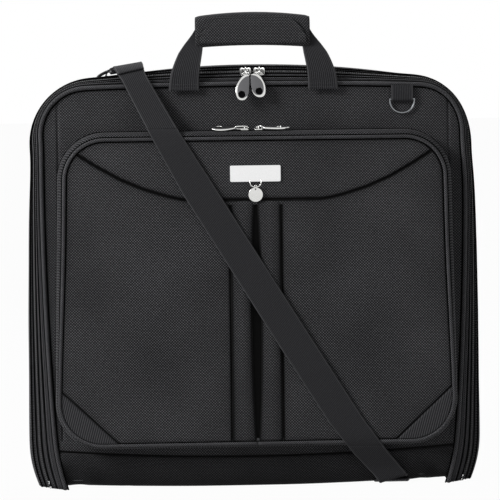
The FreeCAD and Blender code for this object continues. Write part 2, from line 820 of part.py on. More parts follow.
ADJUSTER_PLACE = 0.55
slide_at = back_start + (back_end - back_start) * ADJUSTER_PLACE
slide_frame = Part.makeBox(30.0, strap_half * 2 + 10, 2.4, Vector(-15.0, -strap_half - 5, 0))
for slot_x in (-10.0, 3.0):
    slide_frame = slide_frame.cut(
        Part.makeBox(7.0, strap_half * 2 + 2, 6.0, Vector(slot_x, -strap_half - 1, -2))
    )
back_way = back_end - back_start
slide_turn = FreeCAD.Rotation(back_way, Vector(0, 1, 0).cross(back_way), Vector(0, 1, 0), "ZXY")
slide_frame.Placement = FreeCAD.Placement(
    Vector(slide_at.x, back_depth + strap_thick + 0.3, slide_at.z), slide_turn
)
keep("strap_adjuster", slide_frame)

# ---------------------------------------------------------------- handles

grip_half = size("grip_half")
grip_low = size("grip_bottom")
grip_high = size("grip_top")
grip_mid = size("grip_middle_depth")
grip_deep = size("grip_depth")
leg_foot = size("leg_foot_height")
WEBBING = 2.4


def leg(sections):
    """Webbing leg lofted through (inner x, outer x, middle depth, height) sections."""
    wires = []
    for inner, outer, middle, height in sections:
        near, far = middle - WEBBING / 2, middle + WEBBING / 2
        ring = [
            Vector(inner, near, height), Vector(outer, near, height),
            Vector(outer, far, height), Vector(inner, far, height),
        ]
        wires.append(Part.makePolygon(ring + ring[:1]))
    return Part.makeLoft(wires, True, True)


leg_inner = size("leg_inner_half")
leg_outer = size("leg_outer_half")
leg_depth = front_face - 4.8
front_leg = leg([
    (leg_inner, leg_outer, leg_depth, leg_foot),
    (leg_inner - 0.5, leg_outer - 2.5, leg_depth, 508.0),
    (leg_inner - 3.5, leg_outer - 11.0, leg_depth + 6, 528.0),
    (leg_inner - 6.0, leg_outer - 21.0, grip_mid - 3, grip_low + 4),
    (leg_inner - 8.0, leg_outer - 31.0, grip_mid - 1, grip_low + 17),
])

core = doc.addObject("Part::Box", "front_grip_core")
core.setExpression("Length", "Sizes.grip_half * 2 - 30")
core.setExpression("Width", "Sizes.grip_depth - 12")
core.setExpression("Height", "Sizes.grip_top - Sizes.grip_bottom - 12")
core.Placement = FreeCAD.Placement(
    point(-grip_half + 15, grip_mid - grip_deep / 2 + 6, grip_low + 6), FreeCAD.Rotation()
)
keep_object("front_grip_core", core)

WRAP_WALL = 4.0
WRAP_FREE = 0.2
grip_near = grip_mid - grip_deep / 2
grip_far = grip_mid + grip_deep / 2
wrap_outer = box(-grip_half, grip_half, grip_near, grip_far, grip_low, grip_high)
long_edges = [edge for edge in wrap_outer.Edges if abs(edge.tangentAt(edge.FirstParameter).x) > 0.9]
wrap_outer = wrap_outer.makeFillet(8.0, long_edges)
wrap_inner = box(
    -grip_half - 1, grip_half + 1, grip_near + WRAP_WALL, grip_far - WRAP_WALL,
    grip_low + WRAP_WALL, grip_high - WRAP_WALL,
)
keep("grip_wrap", wrap_outer.cut(wrap_inner))
wrap_clearance = box(
    -grip_half - WRAP_FREE, grip_half + WRAP_FREE, grip_near - WRAP_FREE, grip_far + WRAP_FREE,
    grip_low - WRAP_FREE, grip_high,
)
keep("front_handle_webbing", both_sides(front_leg.cut(wrap_clearance)))

flap_far = grip_near - 0.5
flap_low = grip_low + 5.0
flap_high = grip_high - 7.0
FLAP_CORNER = 20.0
flap_half = grip_half - 2.5
flap_wire = Part.Wire([
    line(point(-flap_half, flap_far, flap_low), point(flap_half, flap_far, flap_low)),
    line(point(flap_half, flap_far, flap_low), point(flap_half, flap_far, flap_high - FLAP_CORNER)),
    arc(
        point(flap_half, flap_far, flap_high - FLAP_CORNER),
        point(flap_half - 6.0, flap_far, flap_high - 6.0),
        point(flap_half - FLAP_CORNER, flap_far, flap_high),
    ),
    line(
        point(flap_half - FLAP_CORNER, flap_far, flap_high),
        point(FLAP_CORNER - flap_half, flap_far, flap_high),
    ),
    arc(
        point(FLAP_CORNER - flap_half, flap_far, flap_high),
        point(6.0 - flap_half, flap_far, flap_high - 6.0),
        point(-flap_half, flap_far, flap_high - FLAP_CORNER),
    ),
    line(point(-flap_half, flap_far, flap_high - FLAP_CORNER), point(-flap_half, flap_far, flap_low)),
])
keep("grip_wrap_flap", extruded(flap_wire, -cloth))

SHEATH_DROP = 60.0
SHEATH_HIGH = 30.0
SHEATH_DEEP = 12.0
rear_leg_depth = rear_face + 6.0
rear_leg = leg([
    (leg_inner, leg_outer, rear_leg_depth, leg_foot - 2),
    (leg_inner - 3.5, leg_outer - 11.0, rear_leg_depth + 1, leg_foot - 42),
    (leg_inner - 8.0, leg_outer - 25.0, rear_leg_depth + 2, leg_foot - SHEATH_DROP - 6),
])
sheath_near = rear_leg_depth - 3.5
sheath_top = leg_foot - SHEATH_DROP
rear_grip_sheath = box(
    -grip_half, grip_half, sheath_near, sheath_near + SHEATH_DEEP, sheath_top - SHEATH_HIGH, sheath_top
)
sheath_edges = [
    edge for edge in rear_grip_sheath.Edges if abs(edge.tangentAt(edge.FirstParameter).x) > 0.9
]
rear_grip_sheath = rear_grip_sheath.makeFillet(5.0, sheath_edges)
rear_legs = both_sides(rear_leg)
keep("rear_handle", rear_grip_sheath.fuse(rear_legs))

# ---------------------------------------------------------------- inside

BRACKET_HALF = 34.0
BRACKET_TOP = 498.0
BRACKET_LOW = BRACKET_TOP - 30
BRACKET_NEAR = 18.0
ARM_LOW = 484.4
ARM_TOP = 490.0
ARM_HALF = 3.0
HOOK_X = 60.0
bracket = box(-BRACKET_HALF, BRACKET_HALF, BRACKET_NEAR, board_near - 1.2, BRACKET_LOW, BRACKET_TOP)
bracket_slot = box(-26, 26, BRACKET_NEAR - 1, board_near - 6, BRACKET_LOW + 8, BRACKET_TOP - 8)
arm_near, arm_far = BRACKET_NEAR + 1, BRACKET_NEAR + 6
bracket_arm = box(BRACKET_HALF - 4, HOOK_X + ARM_HALF, arm_near, arm_far, ARM_LOW, ARM_TOP)
hook_arm = box(HOOK_X - ARM_HALF, HOOK_X + ARM_HALF, 5, arm_far, ARM_LOW, ARM_TOP)
keep("hanger_bracket", bracket.cut(bracket_slot).fuse([bracket_arm, hook_arm]))
LEVER_HALF = 20.0
LEVER_NEAR = 14.5
LEVER_THICK = 3.1
lever = box(
    -LEVER_HALF, LEVER_HALF, LEVER_NEAR, LEVER_NEAR + LEVER_THICK, BRACKET_LOW, BRACKET_TOP - 16
)
keep("hanger_clamp_lever", lever)
HOOK_WIRE = 2.0
HOOK_RADIUS = 18.0
HOOK_CLEARANCE = 0.8
hook_eye = point(HOOK_X, 8.0, ARM_LOW - 0.4)
hook_centre = hook_eye - Vector(0, 0, HOOK_RADIUS + 16)
hook_bow = Part.makeTorus(HOOK_RADIUS, HOOK_WIRE, hook_centre, Vector(0, 1, 0))
hook_gap = box(HOOK_X - 30, HOOK_X - 3, 0, 16, hook_centre.z - 14, hook_centre.z + 16)
stem_length = HOOK_RADIUS - HOOK_CLEARANCE
hook_stem = Part.makeCylinder(
    HOOK_WIRE, stem_length, hook_eye - Vector(0, 0, HOOK_RADIUS), Vector(0, 0, 1)
)
keep("hanging_hook", hook_bow.cut(hook_gap).fuse(hook_stem))

TIE_LOW = 240.0
TIE_WIDTH = 25.0
TIE_REACH = 225.0
BUCKLE_WALL = 4.0
BUCKLE_DEEP = 7.5
tie_far = board_near - 1.4
tie_high = TIE_LOW + TIE_WIDTH
keep("tie_straps", both_sides(box(24, TIE_REACH, tie_far - 1.8, tie_far, TIE_LOW, tie_high)))
buckle_far = tie_far - 2.0
buckle_near = buckle_far - BUCKLE_DEEP
buckle_low, buckle_high = TIE_LOW - BUCKLE_WALL, tie_high + BUCKLE_WALL
socket = box(2, 28, buckle_near, buckle_far, buckle_low, buckle_high)
socket_hollow = box(1, 24, buckle_near + 2.0, buckle_far - 2.0, TIE_LOW, tie_high)
keep("buckle_socket", socket.cut(socket_hollow))
plug_body = box(-28, 1.6, buckle_near, buckle_far, buckle_low, buckle_high)
plug_prong = box(1.0, 20, buckle_near + 2.4, buckle_far - 2.4, TIE_LOW + 3, tie_high - 3)
keep("buckle_plug", plug_body.fuse(plug_prong))

# ---------------------------------------------------------------- check and export

doc.recompute()
for item in doc.Objects:
    if "Invalid" in item.State or "Error" in item.State:
        raise RuntimeError(f"{item.Name} failed: {item.State}")
labels = [item.Label for item in nodes]
if len(set(labels)) != len(labels):
    raise RuntimeError("two sub-parts share a name")
for item in nodes:
    if item.Shape.isNull() or not item.Shape.isValid() or item.Shape.Volume <= 0:
        raise RuntimeError(f"{item.Label} has no valid shape")
os.makedirs("parts", exist_ok=True)
for item in nodes:
    item.Shape.exportStep(f"parts/{item.Label}.step")
print(len(nodes), "sub-parts written")
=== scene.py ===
import math

import bpy
import numpy as np
from mathutils import Matrix, Vector


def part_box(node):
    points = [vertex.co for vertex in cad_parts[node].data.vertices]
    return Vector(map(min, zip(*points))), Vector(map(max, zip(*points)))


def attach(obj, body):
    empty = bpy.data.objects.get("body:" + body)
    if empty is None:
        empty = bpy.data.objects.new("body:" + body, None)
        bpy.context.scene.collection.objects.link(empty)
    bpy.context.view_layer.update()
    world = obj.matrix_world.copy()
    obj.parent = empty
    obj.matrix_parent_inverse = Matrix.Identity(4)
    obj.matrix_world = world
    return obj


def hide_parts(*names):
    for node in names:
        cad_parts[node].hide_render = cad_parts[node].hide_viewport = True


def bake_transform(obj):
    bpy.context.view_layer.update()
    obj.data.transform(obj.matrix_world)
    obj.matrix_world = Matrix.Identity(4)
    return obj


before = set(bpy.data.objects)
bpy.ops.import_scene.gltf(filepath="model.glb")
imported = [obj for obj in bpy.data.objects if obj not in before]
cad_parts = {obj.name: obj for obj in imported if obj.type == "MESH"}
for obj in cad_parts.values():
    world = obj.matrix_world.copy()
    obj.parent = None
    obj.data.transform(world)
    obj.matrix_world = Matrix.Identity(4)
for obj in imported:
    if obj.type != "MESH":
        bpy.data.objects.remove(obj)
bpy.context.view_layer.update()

MM = 0.001

# ------------------------------------------------------------------ view, light and floor
# A long lens in front of the closed bag, a few degrees above it and to its left and rolled by
# under a degree, with soft light from a bright studio and a pale floor that runs into white.

CAMERA_AZIMUTH = math.radians(-2.8)
CAMERA_ELEVATION = math.radians(4.0)
CAMERA_DISTANCE = 2.9
CAMERA_ROLL = math.radians(-0.65)
VIEW_WIDTH = 0.616
VIEW_CENTRE = Vector((-0.0050, 0.0, 0.2894))



def show(name, data):
    """New object in the scene."""
    piece = bpy.data.objects.new(name, data)
    bpy.context.scene.collection.objects.link(piece)
    return piece


camera_data = bpy.data.cameras.new("camera")
camera_data.sensor_width = 36.0
camera_data.lens = camera_data.sensor_width * CAMERA_DISTANCE / VIEW_WIDTH
camera = show("camera", camera_data)
towards_camera = Vector((
    math.sin(CAMERA_AZIMUTH) * math.cos(CAMERA_ELEVATION),
    -math.cos(CAMERA_AZIMUTH) * math.cos(CAMERA_ELEVATION), math.sin(CAMERA_ELEVATION),
))
camera.location = VIEW_CENTRE + towards_camera * CAMERA_DISTANCE
turn = (-towards_camera).to_track_quat("-Z", "Y").to_matrix().to_4x4()
camera.matrix_world = (
    Matrix.Translation(camera.location) @ turn @ Matrix.Rotation(CAMERA_ROLL, 4, "Z")
)
bpy.context.scene.camera = camera
bpy.context.scene.view_settings.view_transform = "Standard"


def linear(hex_colour):
    """Linear RGBA from an sRGB hex colour."""
    channels = [int(hex_colour[place:place + 2], 16) / 255 for place in (0, 2, 4)]
    return [c / 12.92 if c <= 0.04045 else ((c + 0.055) / 1.055) ** 2.4 for c in channels] + [1.0]


def add(tree, kind, links=None, **settings):
    """Add a node; links give its inputs a value or another node's output socket."""
    node = tree.nodes.new(kind)
    for name, value in settings.items():
        setattr(node, name, value)
    for name, value in (links or {}).items():
        socket = node.inputs[name]
        if isinstance(value, bpy.types.NodeSocket):
            tree.links.new(value, socket)
        else:
            socket.default_value = value
    return node


def maths(tree, operation, *values):
    return add(tree, "ShaderNodeMath", dict(enumerate(values)), operation=operation).outputs[0]


def lamp(name, place, size, power):
    """Soft square lamp that faces the middle of the bag."""
    data = bpy.data.lights.new(name, "AREA")
    data.size = size
    data.energy = power
    light = show(name, data)
    light.location = place
    light.rotation_euler = (VIEW_CENTRE - Vector(place)).to_track_quat("-Z", "Y").to_euler()


lamp("key", (-2.3, -1.3, 1.8), 0.9, 52)
lamp("fill", (1.9, -1.6, 0.9), 1.6, 0.4)
lamp("rim", (0.3, 1.4, 2.2), 1.2, 14)

STUDIO_STRENGTH = 0.19
FLOOR_HALF = 30.0
FLOOR_GLOW = 0.97

world = bpy.data.worlds.new("studio")
bpy.context.scene.world = world
world.use_nodes = True
sky = world.node_tree
sky.nodes.clear()
ray = add(sky, "ShaderNodeLightPath").outputs
mirrored = maths(sky, "MAXIMUM", ray["Is Glossy Ray"], ray["Is Transmission Ray"])
seen = maths(sky, "MAXIMUM", ray["Is Camera Ray"], mirrored)
soft = add(sky, "ShaderNodeBackground", {"Color": (1, 1, 1, 1), "Strength": STUDIO_STRENGTH})
white = add(sky, "ShaderNodeBackground", {"Color": (1, 1, 1, 1), "Strength": 1.0})
both = add(sky, "ShaderNodeMixShader", {0: seen, 1: soft.outputs[0], 2: white.outputs[0]})
add(sky, "ShaderNodeOutputWorld", {"Surface": both.outputs[0]})

floor_mesh = bpy.data.meshes.new("floor")
floor_mesh.from_pydata(
    [(x * FLOOR_HALF, y * FLOOR_HALF, 0) for x, y in ((-1, -1), (1, -1), (1, 1), (-1, 1))],
    [], [(0, 1, 2, 3)])
floor = show("floor", floor_mesh)
floor_paint = bpy.data.materials.new("pale_floor")
floor_paint.use_nodes = True
tree = floor_paint.node_tree
tree.nodes.clear()
ray = add(tree, "ShaderNodeLightPath").outputs
seen = maths(tree, "MAXIMUM", ray["Is Camera Ray"], ray["Is Glossy Ray"])
share = maths(tree, "MULTIPLY", seen, FLOOR_GLOW)
matte = add(tree, "ShaderNodeBsdfDiffuse", {"Color": linear("C8C8C8")})
glow = add(tree, "ShaderNodeEmission", {"Color": (1, 1, 1, 1), "Strength": 1.0})
mixed = add(tree, "ShaderNodeMixShader", {0: share, 1: matte.outputs[0], 2: glow.outputs[0]})
add(tree, "ShaderNodeOutputMaterial", {"Surface": mixed.outputs[0]})
floor_mesh.materials.append(floor_paint)


# ------------------------------------------------------------------ cloth
# 1680 denier ballistic nylon: thick twisted threads in a two-by-two basket. Each crossing
# is a small pad, and warp and weft catch the light differently, which reads as a check.
# Woven cells are 1.3 mm on the real cloth and are drawn at 1.7 mm so that they show.

def new_material(name):
    """Empty node material with a shader; gives the material, its tree and the shader."""
    material = bpy.data.materials.new(name)
    material.use_nodes = True
    tree = material.node_tree
    tree.nodes.clear()
    shader = add(tree, "ShaderNodeBsdfPrincipled")
    add(tree, "ShaderNodeOutputMaterial", {"Surface": shader.outputs[0]})
    return material, tree, shader


def blended(tree, amount, first, second):
    """Mix of two numbers."""
    return add(tree, "ShaderNodeMix", {0: amount, 2: first, 3: second},
               data_type="FLOAT").outputs[0]


def tinted(tree, amount, dark, light):
    """Mix of two colours, given as hex or as sockets."""
    dark = linear(dark) if isinstance(dark, str) else dark
    light = linear(light) if isinstance(light, str) else light
    return add(tree, "ShaderNodeMix", {0: amount, 6: dark, 7: light}, data_type="RGBA").outputs[2]


def noise(tree, place, scale, detail=2.0):
    """Cloudy number over a material."""
    given = {"Vector": place, "Scale": scale, "Detail": detail}
    return add(tree, "ShaderNodeTexNoise", given).outputs[0]


def times(tree, first, second):
    return maths(tree, "MULTIPLY", first, second)


def raised(tree, start, value, share):
    """start + value * share."""
    return maths(tree, "ADD", start, times(tree, value, share))


SHADER_INPUTS = {
    "rough": "Roughness", "shine": "Specular IOR Level", "metallic": "Metallic",
    "sheen": "Sheen Weight", "sheen_rough": "Sheen Roughness",
}


def surface(made, colour, height, distance, strength, **values):
    """Finish a new material with its colour, its relief and its shader's plain values."""
    material, tree, shader = made
    tree.links.new(colour, shader.inputs["Base Color"])
    bump = add(tree, "ShaderNodeBump",
               {"Height": height, "Distance": distance, "Strength": strength})
    tree.links.new(bump.outputs[0], shader.inputs["Normal"])
    for name, value in values.items():
        shader.inputs[SHADER_INPUTS[name]].default_value = value
    return material


def cloth_uv(tree):
    """The cloth's UV map in metres, whole and as its two parts."""
    uv = add(tree, "ShaderNodeUVMap", uv_map="cloth").outputs[0]
    split = add(tree, "ShaderNodeSeparateXYZ", {0: uv}).outputs
    return uv, split[0], split[1]


def cloth_axes(tree, across, along):
    """The cloth's own coordinates in threads, which wander a little, and its UV map."""
    uv, u, v = cloth_uv(tree)
    drift = times(tree, maths(tree, "SUBTRACT", noise(tree, uv, 60.0, 1.0), 0.5), 0.5)
    u, v = (maths(tree, "ADD", maths(tree, "DIVIDE", value, pitch), drift)
            for value, pitch in ((u, across), (v, along)))
    return u, v, uv


def hump(tree, turns):
    """Rounded thread section, once per whole turn."""
    return maths(tree, "ABSOLUTE", maths(tree, "SINE", times(tree, turns, math.pi)))


def with_thread_and_painted_shade(tree, colour):
    """Colour that sinks to black by the mesh's seam attribute: the black of seam thread, with
    painted shade in seams and folds and on the fold band at the foot.
    """
    mark = add(tree, "ShaderNodeAttribute", attribute_name="seam").outputs["Fac"]
    return tinted(tree, mark, colour, "020202")


def nylon(name, dark="0A0A0B", light="8A8A8E", cell=1.7 * MM, depth=0.3 * MM):
    made = new_material(name)
    tree = made[1]
    u, v, place = cloth_axes(tree, cell, cell)
    hump_u, hump_v = hump(tree, u), hump(tree, v)
    even = maths(tree, "ADD", maths(tree, "FLOOR", u), maths(tree, "FLOOR", v))
    parity = maths(tree, "ABSOLUTE", maths(tree, "MODULO", even, 2.0))
    warp = times(tree, hump_u, raised(tree, 0.55, hump_v, 0.45))
    weft = times(tree, hump_v, raised(tree, 0.55, hump_u, 0.45))
    height = blended(tree, parity, warp, weft)
    shade = times(tree, height, blended(tree, parity, 0.12, 1.0))
    for start, share, scale, detail in ((0.3, 1.2, 420.0, 2.0), (0.45, 1.0, 9.0, 3.0)):
        cloud = noise(tree, place, scale, detail)
        shade = times(tree, shade, raised(tree, start, cloud, share))
    # Painted shade: the seam attribute darkens the cloth into seams and folds.
    colour = with_thread_and_painted_shade(tree, tinted(tree, shade, dark, light))
    return surface(made, colour, height, depth, 0.8, rough=0.6, sheen=0.04, sheen_rough=0.5,
                   shine=0.05)


BALLISTIC = nylon("ballistic_nylon")


def arc_points(start, middle, end, count):
    """Points on the circle through three points, without the last one."""
    spots = np.array([start, middle, end], dtype=float)
    (ax, az), (bx, bz), (cx, cz) = spots
    squares = (spots ** 2).sum(axis=1)
    twice_area = 2 * (ax * (bz - cz) + bx * (cz - az) + cx * (az - bz))
    ox = squares @ [bz - cz, cz - az, az - bz] / twice_area
    oz = squares @ [cx - bx, ax - cx, bx - ax] / twice_area
    first = math.atan2(az - oz, ax - ox)
    second = (math.atan2(bz - oz, bx - ox) - first) % (2 * math.pi)
    third = (math.atan2(cz - oz, cx - ox) - first) % (2 * math.pi)
    if second > third:
        third -= 2 * math.pi
    radius = math.hypot(ax - ox, az - oz)
    angles = first + third * np.arange(count) / count
    return np.stack([ox + radius * np.cos(angles), oz + radius * np.sin(angles)], axis=1)


def line_points(start, end, count):
    share = (np.arange(count) / count)[:, None]
    return np.asarray(start) * (1 - share) + np.asarray(end) * share


def xyz(x, y, z):
    """Points from arrays or single numbers."""
    return np.stack(np.broadcast_arrays(x, y, z), axis=-1)


def unit(value):
    """A value held between 0 and 1."""
    return np.clip(value, 0, 1)


def bell(distance, width):
    """1 at no distance, falling away over a width."""
    return np.exp(-(distance / width) ** 2)


def rolled(share):
    """Drop of a quarter-round edge: 1 at its rim, 0 at a share of 1."""
    return 1 - np.sqrt(1 - (1 - share) ** 2)


def travelled(points):
    """Length along a path at each of its points."""
    steps = np.linalg.norm(np.diff(points, axis=0), axis=1)
    return np.concatenate([[0], np.cumsum(steps)])


def unit_length(vectors):
    return vectors / np.linalg.norm(vectors, axis=-1, keepdims=True)


def softened(rows, passes):
    """Rows averaged with their neighbours, all but the first and last."""
    for _ in range(passes):
        rows[1:-1] = (rows[:-2] + 2 * rows[1:-1] + rows[2:]) / 4
    return rows


def hanning_smoothed(values, size):
    """Values under a rounded window; the ends that it can't reach are left out."""
    window = np.hanning(size)
    return np.convolve(values, window / window.sum(), "valid")


# the outline's half widths and heights in mm at the widest depth and at the front panel
WIDEST = dict(foot=270, ankle=278.5, hip=281, waist=279.5, shoulder=(273, 405), corner=(251, 479),
              arch=(187, 504), crown=518)
PANEL = dict(foot=236.5, ankle=243.5, hip=249, waist=257, shoulder=(260.5, 425), corner=(246, 474),
             arch=(202, 493), crown=496)
HEIGHTS = dict(foot=0, ankle=26, hip=58, waist=200)
INSET_WAYS = dict(shoulder=(1, 0), corner=(0.707, 0.707), arch=(0, 1))
# the right shoulder sags inwards by SLUMP mm about a height
SLUMP, SLUMP_HEIGHT, SLUMP_REACH, SLUMP_FROM, SLUMP_OVER = 4.5, 445, 50, 150, 90


def bag_outline(inward, inset=0.0):
    """Open outline in metres from the left foot over the top to the right foot."""
    def spot(name):
        at = (1 - inward) * np.array(WIDEST[name]) + inward * np.array(PANEL[name])
        if name == "crown":
            return (0.0, at - inset)
        if name in HEIGHTS:
            return (at - inset, HEIGHTS[name])
        x_share, z_share = INSET_WAYS[name]
        return (at[0] - inset * x_share, at[1] - inset * z_share)

    def left(name):
        x, z = spot(name)
        return (-x, z)

    half = [("foot", "ankle", "hip", 10), ("hip", "waist", "shoulder", 44),
            ("shoulder", "corner", "arch", 30)]
    rows = [arc_points(*map(left, names), count) for *names, count in half]
    rows.append(arc_points(left("arch"), spot("crown"), spot("arch"), 52))
    rows += [arc_points(*map(spot, names[::-1]), count) for *names, count in half[::-1]]
    ring = softened(np.concatenate([*rows, [spot("foot")]]), 5)
    right = unit((ring[:, 0] - SLUMP_FROM) / SLUMP_OVER)
    ring[:, 0] -= SLUMP * right * bell(ring[:, 1] - SLUMP_HEIGHT, SLUMP_REACH)
    return ring * MM


def smooth_noise(points, size, seed):
    """Slow wandering number between -1 and 1 over points, from a few waves."""
    rng = np.random.default_rng(seed)
    total = np.zeros(points.shape[:-1])
    for _ in range(7):
        direction = unit_length(rng.normal(size=3))
        wave = rng.uniform(0.6, 1.7) * 2 * math.pi / size
        total += np.sin((points @ direction) * wave + rng.uniform(0, 6.28))
    return total / 4.0


def dress(piece, body, slot, *nodes):
    """A finished piece rides on a body and stands for CAD nodes; slot is not used."""
    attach(piece, body)
    if nodes:
        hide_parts(*nodes)
    return piece


def grid_quads(index):
    """Corners of the cells of an index grid."""
    cells = [index[:-1, :-1], index[:-1, 1:], index[1:, 1:], index[1:, :-1]]
    return np.stack(cells, axis=-1).reshape(-1, 4)


def smooth_shaded(mesh):
    mesh.polygons.foreach_set("use_smooth", [True] * len(mesh.polygons))


def plane_uv(grid):
    """UV map of a grid in metres that faces along y."""
    flat = grid[..., [0, 2]]
    return np.concatenate([flat, flat[:, :1]], axis=1)


def cloth_piece(name, grid, material, outward, thick=0.0, uv=None, loop=False, seam=None):
    """Quad mesh from a grid of points (rows, columns, 3) with a cloth UV map in metres.

    seam gives each point an amount from 0 to 1 for the material: on nylon, the black of seam thread
    with painted shade; on webbing, a painted highlight along the selvedge.
    """
    rows, columns = grid.shape[:2]
    index = np.arange(rows * columns).reshape(rows, columns)
    if loop:
        index = np.concatenate([index, index[:, :1]], axis=1)
    quads = grid_quads(index)
    flat = grid.reshape(-1, 3)
    one, two, three = flat[quads[:, 0]], flat[quads[:, 1]], flat[quads[:, 3]]
    way, target = outward
    away = one - np.array(target) if way == "from" else np.array(target)
    inside_out = np.sum(np.cross(two - one, three - one) * away) < 0
    mesh = bpy.data.meshes.new(name)
    if uv is None:
        beyond = grid[:, :1] if loop else grid[:, -1:]
        step = np.linalg.norm(np.diff(grid, axis=1, append=beyond), axis=2)
        u = np.pad(np.cumsum(step, axis=1), ((0, 0), (1, 0)))
        u = u - u.mean(axis=1, keepdims=True)
        down = np.linalg.norm(np.diff(grid, axis=0), axis=2)
        v = np.pad(np.cumsum(down, axis=0), ((1, 0), (0, 0)))
        uv = np.stack([u, np.concatenate([v, v[:, :1]], axis=1)], axis=-1)
    wide = np.arange(uv.shape[0] * uv.shape[1]).reshape(uv.shape[:2])[:, :index.shape[1]]
    corners = grid_quads(wide)
    if inside_out:
        quads, corners = quads[:, ::-1], corners[:, ::-1]
    mesh.from_pydata(flat.tolist(), [], quads.tolist())
    layer = mesh.uv_layers.new(name="cloth")
    layer.data.foreach_set("uv", uv.reshape(-1, 2)[corners.ravel()].astype(np.float32).ravel())
    # Painted shade or painted highlight amounts, stored as the seam attribute.
    if seam is not None:
        mark = mesh.attributes.new("seam", "FLOAT", "POINT")
        seam = np.broadcast_to(seam, (rows, columns)).astype(np.float32)
        mark.data.foreach_set("value", seam.ravel())
    smooth_shaded(mesh)
    mesh.materials.append(material)
    piece = show(name, mesh)
    if thick:
        wall = piece.modifiers.new("cloth_thickness", "SOLIDIFY")
        wall.thickness = thick
        wall.offset = -1.0
        wall.use_even_offset = False
    return piece


BAG_CENTRE = np.array([0.0, 0.01, 0.25])
MIDDLE = ("from", BAG_CENTRE)
FORWARD = ("to", (0.0, -1.0, 0.0))
BACKWARD = ("to", (0.0, 1.0, 0.0))
EITHER_WAY = ("to", (0.0, 0.0, 0.0))


def outline_ring(depth, inward, inset):
    """The bag's outline in metres at a depth in mm."""
    ring = bag_outline(inward, inset)
    return xyz(ring[:, 0], depth * MM, ring[:, 1])


def wall_grid(profile, soften=1, wave=0.0, seed=1):
    """Surface along the bag's outline through (depth mm, inward, inset mm) profile points."""
    profile = np.array(profile, dtype=float)
    for _ in range(soften):
        mids = (profile[:-1] + profile[1:]) / 2
        finer = np.empty((2 * len(profile) - 1, 3))
        finer[0], finer[1::2], finer[-1] = profile[0], mids, profile[-1]
        finer[2:-1:2] = (mids[:-1] + 2 * profile[1:-1] + mids[1:]) / 4
        profile = finer
    grid = np.stack([outline_ring(*spot) for spot in profile])
    if wave:
        away = unit_length((grid - BAG_CENTRE) * np.array([1, 0, 1]))
        share = np.sin(np.linspace(0, math.pi, len(grid)))[:, None]
        grid = grid + away * (smooth_noise(grid, 0.16, seed) * share * wave * MM)[..., None]
    return grid


# ------------------------------------------------------------------ rear gusset
# The wide wall round the rear half: one strip of nylon on thin foam, sewn to the zip tape in
# front and piped to the rear panel behind. It bellies out a little between the two seams.

GUSSET_PROFILE = [
    (-1.6, 0.22, 1.0), (-2.2, 0.20, -0.2), (0.5, 0.12, -0.2), (6, 0.03, 0.0), (14, 0.0, 0.0),
    (26, 0.05, 0.0), (36, 0.2, 0.0), (41.5, 0.42, 0.0), (42.6, 0.5, 0.6),
]
rear_gusset = cloth_piece(
    "rear_gusset_cloth", wall_grid(GUSSET_PROFILE, soften=2, wave=0.7, seed=4), BALLISTIC, MIDDLE,
    thick=2.2 * MM,
)
dress(rear_gusset, "rear_half", "ballistic_nylon", "rear_gusset")


# ------------------------------------------------------------------ zip tapes
# Woven polyester tape, 12 mm seen on each side of the coil, with a fine rib along it and a
# raised bound edge where it is sewn to the cloth.

def tape_material(name, dark="121213", light="58585B", pitch=1.5 * MM):
    made = new_material(name)
    tree = made[1]
    u, v, place = cloth_axes(tree, 1.9 * MM, pitch)
    height = times(tree, hump(tree, v), raised(tree, 0.7, hump(tree, u), 0.3))
    shade = times(tree, height, raised(tree, 0.6, noise(tree, place, 500.0), 0.6))
    return surface(made, tinted(tree, shade, dark, light), height, 0.2 * MM, 0.7, rough=0.6,
                   shine=0.06)


TAPE = tape_material("woven_zip_tape")

REAR_TAPE_PROFILE = [(-7.4, 0.40, 0.3), (-5.0, 0.33, 0.6), (-3.2, 0.28, 0.2), (-1.6, 0.22, 0.2),
                     (-0.6, 0.2, 0.8)]
FRONT_TAPE_PROFILE = [
    (-12.8, 0.50, 0.3), (-15.5, 0.60, 0.9), (-18.5, 0.72, 0.9), (-21.5, 0.84, 0.4),
    (-22.6, 0.90, -0.2), (-23.6, 0.94, 0.2), (-24.4, 0.97, 1.6),
]
for name, profile, body in (
    ("rear_zip_tape", REAR_TAPE_PROFILE, "rear_half"),
    ("front_zip_tape", FRONT_TAPE_PROFILE, "front_half"),
):
    tape = cloth_piece(name + "_woven", wall_grid(profile, soften=1), TAPE, MIDDLE, thick=1.2 * MM)
    dress(tape, body, "zip_tape", name)


# ------------------------------------------------------------------ zip coils
# A nylon monofilament wound into a coil and sewn to each tape. The two coils mesh, so each
# half shows as a row of short bars that pass between those of the other.

def group_tree(name, inputs):
    """Geometry tree with a mesh in and out and named inputs; gives tree, input and output nodes."""
    tree = bpy.data.node_groups.new(name, "GeometryNodeTree")
    tree.interface.new_socket("Geometry", in_out="INPUT", socket_type="NodeSocketGeometry")
    tree.interface.new_socket("Geometry", in_out="OUTPUT", socket_type="NodeSocketGeometry")
    for label, kind in inputs:
        tree.interface.new_socket(label, in_out="INPUT", socket_type=kind)
    return tree, tree.nodes.new("NodeGroupInput").outputs, tree.nodes.new("NodeGroupOutput")


